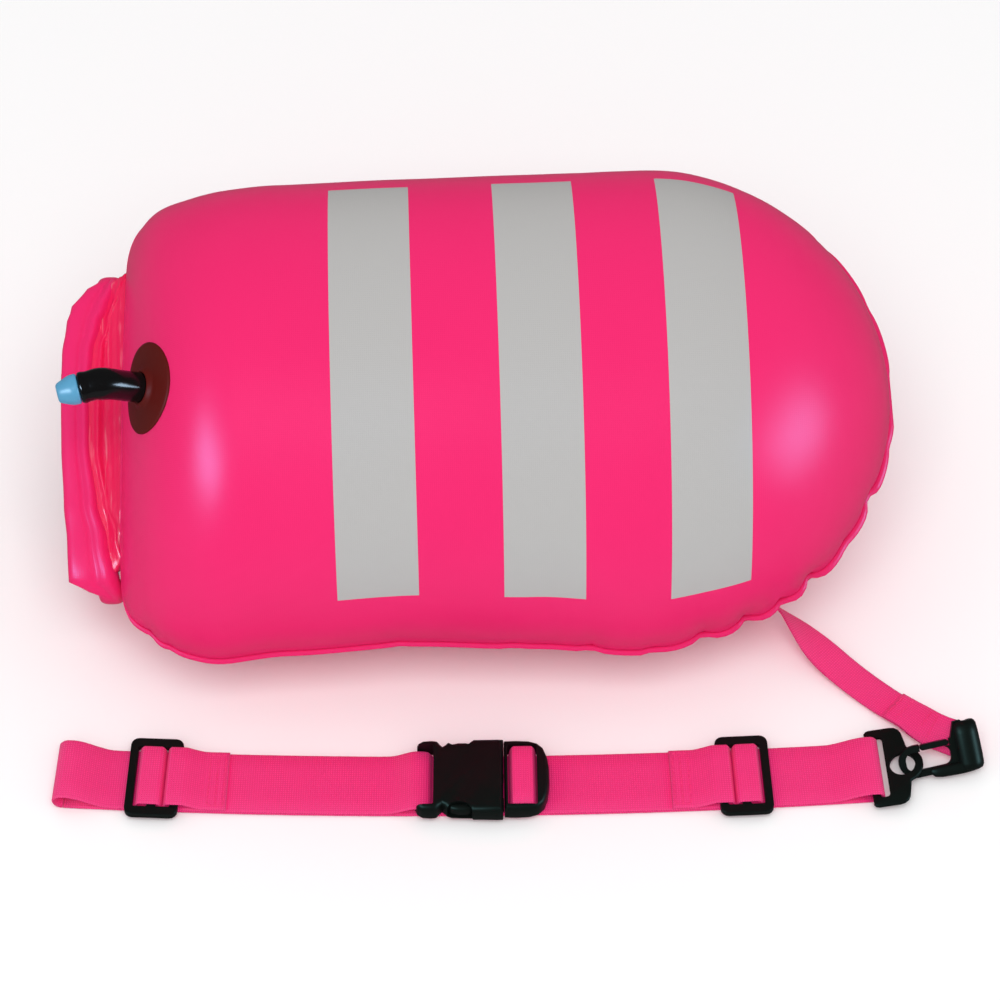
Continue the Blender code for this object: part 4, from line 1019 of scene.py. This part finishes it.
def moulded_block(name, outline, rims, place, body, cad_nodes=()):
    """A moulded block with rolled edges, from its outline and its (height, inset) rims."""
    rows = moulded_rows(outline, rims, place)
    cloth = [[(u, v) for u, v in outline] + [outline[0]] for row in rows]
    made = sheet_mesh(name, rows, cloth, black_acetal, body, cad_nodes)
    cap_rows(made, len(outline), (0, len(rows) - 1))
    made.data.set_sharp_from_angle(angle=SHARP_ANGLE)
    return made


def cut_away(target, place, cuts):
    """Cuts holes out of a moulded block, each an outline between two heights of the block's frame."""
    for outline, low, high in cuts:
        bm = bmesh.new()
        base, lid = ([bm.verts.new(p) for p in row]
                     for row in moulded_rows(outline, ((low, 0.0), (high, 0.0)), place))
        for k in range(len(outline)):
            j = (k + 1) % len(outline)
            bm.faces.new((base[k], base[j], lid[j], lid[k]))
        bm.faces.new(base[::-1])
        bm.faces.new(lid)
        bmesh.ops.recalc_face_normals(bm, faces=bm.faces)
        cutter = mesh_object("cutter", bm)
        step = target.modifiers.new("cut", "BOOLEAN")
        step.operation = "DIFFERENCE"
        step.object = cutter
        bpy.context.view_layer.update()
        shape = bpy.data.meshes.new_from_object(target.evaluated_get(bpy.context.evaluated_depsgraph_get()))
        target.modifiers.clear()
        target.data = shape
        bpy.data.objects.remove(cutter)
    target.data.set_sharp_from_angle(angle=SHARP_ANGLE)


def slot_outline(low_u, high_u, half_v, corner=0.0010):
    """A rectangle with round corners, anticlockwise."""
    made = []
    for turn, (cu, cv) in enumerate(((high_u - corner, half_v - corner), (low_u + corner, half_v - corner),
                                     (low_u + corner, corner - half_v), (high_u - corner, corner - half_v))):
        for k in range(5):
            angle = (turn + k / 4) * math.pi / 2
            made.append((cu + corner * math.cos(angle), cv + corner * math.sin(angle)))
    return made


def oval_outline(middle_u, middle_v, half_u, half_v, count):
    """An ellipse, anticlockwise."""
    return [(middle_u + half_u * math.cos(t), middle_v + half_v * math.sin(t)) for t in turns_of(count)]


def both_sides(edge):
    """A whole outline, anticlockwise, from its upper edge's (u, v) points in rising u."""
    return [(u, -v) for u, v in edge] + [(u, v) for u, v in reversed(edge)]


def belt_frame(x, z):
    """Frame on the belt's middle line: first axis along the belt, second across, third up."""
    across = belt_across(x)
    turned = Matrix((across.cross(UP), across, UP)).transposed().to_4x4()
    return Matrix.Translation((x, belt_y(x), z)) @ turned


BUCKLE_HALF = 0.0112 / 2
# The far half outlines of the socket and the prongs' frame, and the press pad: (along the belt, across it)
SOCKET_EDGE = ((0.0000, 0.0120), (0.0002, 0.0178), (0.0014, 0.0208), (0.0042, 0.0226), (0.0092, 0.0230),
               (0.0122, 0.0225), (0.0138, 0.0204), (0.0151, 0.0190), (0.0165, 0.0202), (0.0178, 0.0216),
               (0.0205, 0.0227), (0.0314, 0.0229), (0.0321, 0.0236), (0.0460, 0.0239), (0.0488, 0.0236))
PRONG_EDGE = ((0.0003, 0.0224), (0.0070, 0.0229), (0.0140, 0.0225), (0.0188, 0.0210), (0.0222, 0.0178),
              (0.0243, 0.0120), (0.0252, 0.0050))
PAD_OUTLINE = ((-0.0306, -0.0010), (-0.0300, -0.0022), (-0.0285, -0.0028), (-0.0200, -0.0028),
               (-0.0180, -0.0022), (-0.0172, -0.0008), (-0.0172, 0.0010), (-0.0182, 0.0021),
               (-0.0210, 0.0027), (-0.0250, 0.0027), (-0.0290, 0.0018), (-0.0303, 0.0006))
# Their edges' profiles, from the underside up: (height over the middle, how far the outline is drawn in)
EDGE_RIMS = ((-BUCKLE_HALF, 0.0014), (-0.0052, 0.0005), (-0.0040, 0.0), (0.0022, 0.0), (0.0038, 0.0004),
             (0.0048, 0.0012), (0.0053, 0.0020), (BUCKLE_HALF, 0.0030))
PRONG_RIMS = ((-BUCKLE_HALF, 0.0010), (-0.0050, 0.0003), (-0.0040, 0.0), (0.0016, 0.0), (0.0034, 0.0004),
              (0.0044, 0.0011), (0.0050, 0.0022))
PAD_RIMS = ((-0.0034, 0.0010), (-0.0028, 0.0003), (-0.0010, 0.0), (0.0012, 0.0), (0.0026, 0.0005),
            (0.0034, 0.0016))


def side_release_buckle():
    """Socket with shoulders, notches and scalloped windows; bowed prong frame; press pads on both arms."""
    place = belt_frame(SOCKET_X, SLIDER_BASE + BUCKLE_HALF)
    socket = moulded_block("buckle_socket_moulding", both_sides(SOCKET_EDGE), EDGE_RIMS, place, "belt",
                           ["buckle_socket"])
    # The mouth for the prongs, the strap's slot, the step over its rail, and the scallops at the pads
    cut_away(socket, place, [(slot_outline(0.0188, 0.0540, 0.02075), -0.0036, 0.0036),
                             (slot_outline(0.0048, 0.0102, 0.0196), -THROUGH, THROUGH),
                             (slot_outline(-0.0060, 0.0080, 0.0197, 0.0014), -0.0024, THROUGH),
                             (oval_outline(0.0246, -0.0240, 0.0073, 0.0060, 24), -0.0036, THROUGH),
                             (oval_outline(0.0246, 0.0240, 0.0073, 0.0060, 24), -0.0036, THROUGH)])
    joint = belt_frame(JOINT_X, SLIDER_BASE + BUCKLE_HALF)
    prongs = moulded_block("buckle_prong_frame", both_sides(PRONG_EDGE), PRONG_RIMS, joint, "prongs",
                           ["buckle_prongs"])
    # The two slots of the strap, and the bar between them, which lies lower than the frame
    cut_away(prongs, joint, [(slot_outline(0.0022, 0.0090, 0.0196), -THROUGH, THROUGH),
                             (slot_outline(0.0122, 0.0186, 0.0196), -THROUGH, THROUGH),
                             (slot_outline(0.0080, 0.0130, 0.0196), PRONG_BAR_TOP - BUCKLE_HALF, THROUGH)])
    for side, sign in (("far", 1), ("near", -1)):
        outline = [(u, sign * (0.0197 + v)) for u, v in (PAD_OUTLINE if sign > 0 else PAD_OUTLINE[::-1])]
        moulded_block(f"buckle_press_pad_{side}", outline, PAD_RIMS, joint, f"arm_{side}")


side_release_buckle()

# The ring leans on the hook; its outline's far half and its edges' profile, from the strap's bar on
RING_TILT = math.radians(9.5)
RING_EDGE = ((-0.0022, 0.0232), (-0.0011, 0.0245), (0.0006, 0.0250), (0.0122, 0.0250), (0.0150, 0.0245),
             (0.0172, 0.0230), (0.0184, 0.0206), (0.0193, 0.0160), (0.0202, 0.0110), (0.0232, 0.0095),
             (0.0261, 0.0067), (0.0278, 0.0030), (0.0281, 0.0010))
RING_RIMS = ((-0.0012, 0.0006), (-0.0009, 0.0002), (-0.0005, 0.0), (0.0005, 0.0), (0.0009, 0.0002),
             (0.0012, 0.0006))


def belt_ring():
    """The belt's end ring with its strap slot, round shoulders and the hook's hole."""
    place = belt_frame(BAR_X, LOW_Z + WRAP_RADIUS) @ Matrix.Rotation(-RING_TILT, 4, "Y")
    ring = moulded_block("belt_ring_moulding", both_sides(RING_EDGE), RING_RIMS, place, "ring", ["belt_ring"])
    cut_away(ring, place, [(slot_outline(0.0022, 0.0074, 0.0196, 0.0017), -0.004, 0.004),
                           (oval_outline(0.0166, 0.0, 0.0071, 0.0071, 32), -0.004, 0.004)])


belt_ring()

HOOK_FRAME = (Matrix.Translation(EYE_MIDDLE)
              @ Matrix((HOOK_ALONG, LEASH_ACROSS[2], EYE_BEHIND)).transposed().to_4x4())
# The hood over the hook's eye: (place along the eye's bar, outer radius, inner radius)
HOOD_RINGS = ((-0.0130, 0.0034, 0.0010), (-0.0127, 0.0048, 0.0010), (-0.0119, 0.0056, 0.0010),
              (-0.0109, 0.0060, 0.0010), (-0.0107, 0.0062, 0.0052), (-0.0060, 0.0065, 0.0052),
              (0.0000, 0.0066, 0.0052), (0.0060, 0.0066, 0.0052), (0.0107, 0.0065, 0.0052),
              (0.0109, 0.0065, 0.0010), (0.0128, 0.0063, 0.0010), (0.0144, 0.0054, 0.0010),
              (0.0152, 0.0036, 0.0010))
# How far round the bar it reaches, in degrees
HOOD_TURN = (-166.0, 25.0)
# The thickened spine: (along the hook from its eye, inner and outer place across it, half thickness)
SPINE_RUN = ((-0.0235, 0.0100, 0.0128, 0.0014), (-0.0220, 0.0092, 0.0146, 0.0024),
             (-0.0180, 0.0089, 0.0155, 0.0030), (-0.0110, 0.0089, 0.0159, 0.0031),
             (-0.0050, 0.0090, 0.0160, 0.0032), (0.0, 0.0091, 0.0157, 0.0031),
             (0.0034, 0.0093, 0.0148, 0.0026), (0.0050, 0.0100, 0.0130, 0.0014))


def hook_mouldings():
    """What fills out the snap hook: a rounded hood round the strap's loop, and a full, rounded spine."""
    first, last = HOOD_TURN
    turns = [math.radians(first + (last - first) * k / 24) for k in range(25)]
    # The hood reaches further out on the strap's side, over the frame's bar
    grown = [(1 + 0.17 * eased((-100.0 - math.degrees(t)) / 66.0), t) for t in turns]
    hood = []
    for place, outer, inner in HOOD_RINGS:
        arc = [(outer * g, t) for g, t in grown] + [(inner * g, t) for g, t in reversed(grown)]
        hood.append([HOOK_FRAME @ Vector((r * math.cos(t), place, r * math.sin(t))) for r, t in arc])
    spine = []
    for s, inner, outer, thick in SPINE_RUN:
        middle = (inner + outer) / 2
        spine.append([HOOK_FRAME @ Vector((s, middle + (outer - middle) * rounded(math.cos(a), 0.7),
                                           -0.0011 + thick * rounded(math.sin(a), 0.7)))
                      for a in turns_of(20)])
    for name, rows in (("hook_eye_hood", hood), ("hook_spine_moulding", spine)):
        made = sheet_mesh(name, rows, grid_cloth(rows, 0.001, 0.001), black_acetal, "hook")
        cap_rows(made, len(rows[0]), (0, len(rows) - 1))
        made.data.set_sharp_from_angle(angle=math.radians(50.0))


hook_mouldings()


def stitch_rows(name, rows, body, thread=0.00028, length=0.0022, pitch=0.0031):
    """Rows of raised stitches; each row is its two ends and the strap's outward direction."""
    bm = bmesh.new()
    for start, end, out in rows:
        way = end - start
        count = max(1, int(way.length / pitch))
        way.normalize()
        side = way.cross(out).normalized()
        for k in range(count):
            middle = start + way * pitch * (k + 0.5)
            rings = []
            for share, size in ((-0.5, 0.35), (-0.34, 0.9), (0.0, 1.0), (0.34, 0.9), (0.5, 0.35)):
                centre = middle + way * length * share + out * thread * 0.35
                rings.append([bm.verts.new(centre + (side * math.cos(a) * 1.5 + out * math.sin(a))
                                           * thread * size) for a in turns_of(6)])
            for low, high in zip(rings, rings[1:]):
                for q in range(6):
                    bm.faces.new((low[q], low[(q + 1) % 6], high[(q + 1) % 6], high[q]))
            bm.faces.new(rings[0][::-1])
            bm.faces.new(rings[-1])
    bmesh.ops.recalc_face_normals(bm, faces=bm.faces)
    made = mesh_object(name, bm)
    made.data.shade_smooth()
    made.data.materials.append(thread_pink)
    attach(made, body)


# How far stitches reach to either side of the belt's and the leash's middle, and the places of the leash's
# tacks, in points of its sewn lap from the lap's end
STITCH_SIDE = 0.0165
TACK_SIDE = 0.0085
TACKS = (1, 3, 8, 10, 15, 17)


def belt_stitches():
    """Box stitching on both sewn ends, and the bar tacks of the leash's sewn lap."""
    top = ABOVE_Z + WEB_THICKNESS / 2
    for side, x, sewn_sign in SLIDERS:
        far = x + sewn_sign * (SLIDER_LENGTH / 2 + SEWN_REACH)
        # Three rows across the end and one along either edge: (distance in from the end, place across)
        runs = [((back, -STITCH_SIDE), (back, STITCH_SIDE)) for back in (0.0016, 0.0060, 0.0104)]
        runs += [((0.0012, v), (0.0108, v)) for v in (-STITCH_SIDE, STITCH_SIDE)]
        rows = [[belt_frame(far - sewn_sign * back, top) @ Vector((0.0, v, 0.0)) for back, v in run] + [UP]
                for run in runs]
        stitch_rows(f"{side}_end_stitches", rows, f"{side}_slider")
    rows = []
    for back in TACKS:
        k = len(leash_lap) - 1 - back
        if k < 1:
            continue
        (low, side), (high, _) = leash_lap[k], leash_lap[k + 1]
        out = side.cross((high - low).normalized()).normalized()
        out = out if out.z > 0 else -out
        middle = (low + high) / 2 + out * WEB_THICKNESS / 2
        rows.append((middle - side * TACK_SIDE, middle + side * TACK_SIDE, out))
    stitch_rows("leash_bar_tacks", rows, "buoy", pitch=0.0026, length=0.0021)


belt_stitches()

# Hard pieces kept from the CAD
BLACK_PIECES = ("closure_stiffener", "closure_clip_socket", "closure_clip_plug", "hook_body", "hook_gate",
                "slider_left", "slider_right", "buckle_arm_far", "buckle_arm_near", "buckle_guide",
                "valve_seal")
FINISHES = {**dict.fromkeys(BLACK_PIECES, black_acetal), "valve_stem": mouth_blue,
            "valve_spring_seat": mouth_blue, "dry_pouch": pouch_cloth}
# How far the square edges of what shows are rounded, in metres
SOFTENED = {"hook_body": 0.0009, "hook_gate": 0.0008, "slider_left": 0.0009, "slider_right": 0.0009,
            "closure_clip_socket": 0.0008, "closure_clip_plug": 0.0008}


def dress_cad():
    """Gives each kept CAD piece its finish, and moulded edges where it shows."""
    for name, finish in FINISHES.items():
        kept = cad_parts[name]
        kept.data.materials.clear()
        kept.data.materials.append(finish)
        if name in SOFTENED:
            weld(kept)
            edge = kept.modifiers.new("moulded_edge", "BEVEL")
            edge.width = SOFTENED[name]
            edge.segments = 3
            edge.limit_method = "ANGLE"
            edge.angle_limit = math.radians(40.0)
            edge.harden_normals = False


dress_cad()
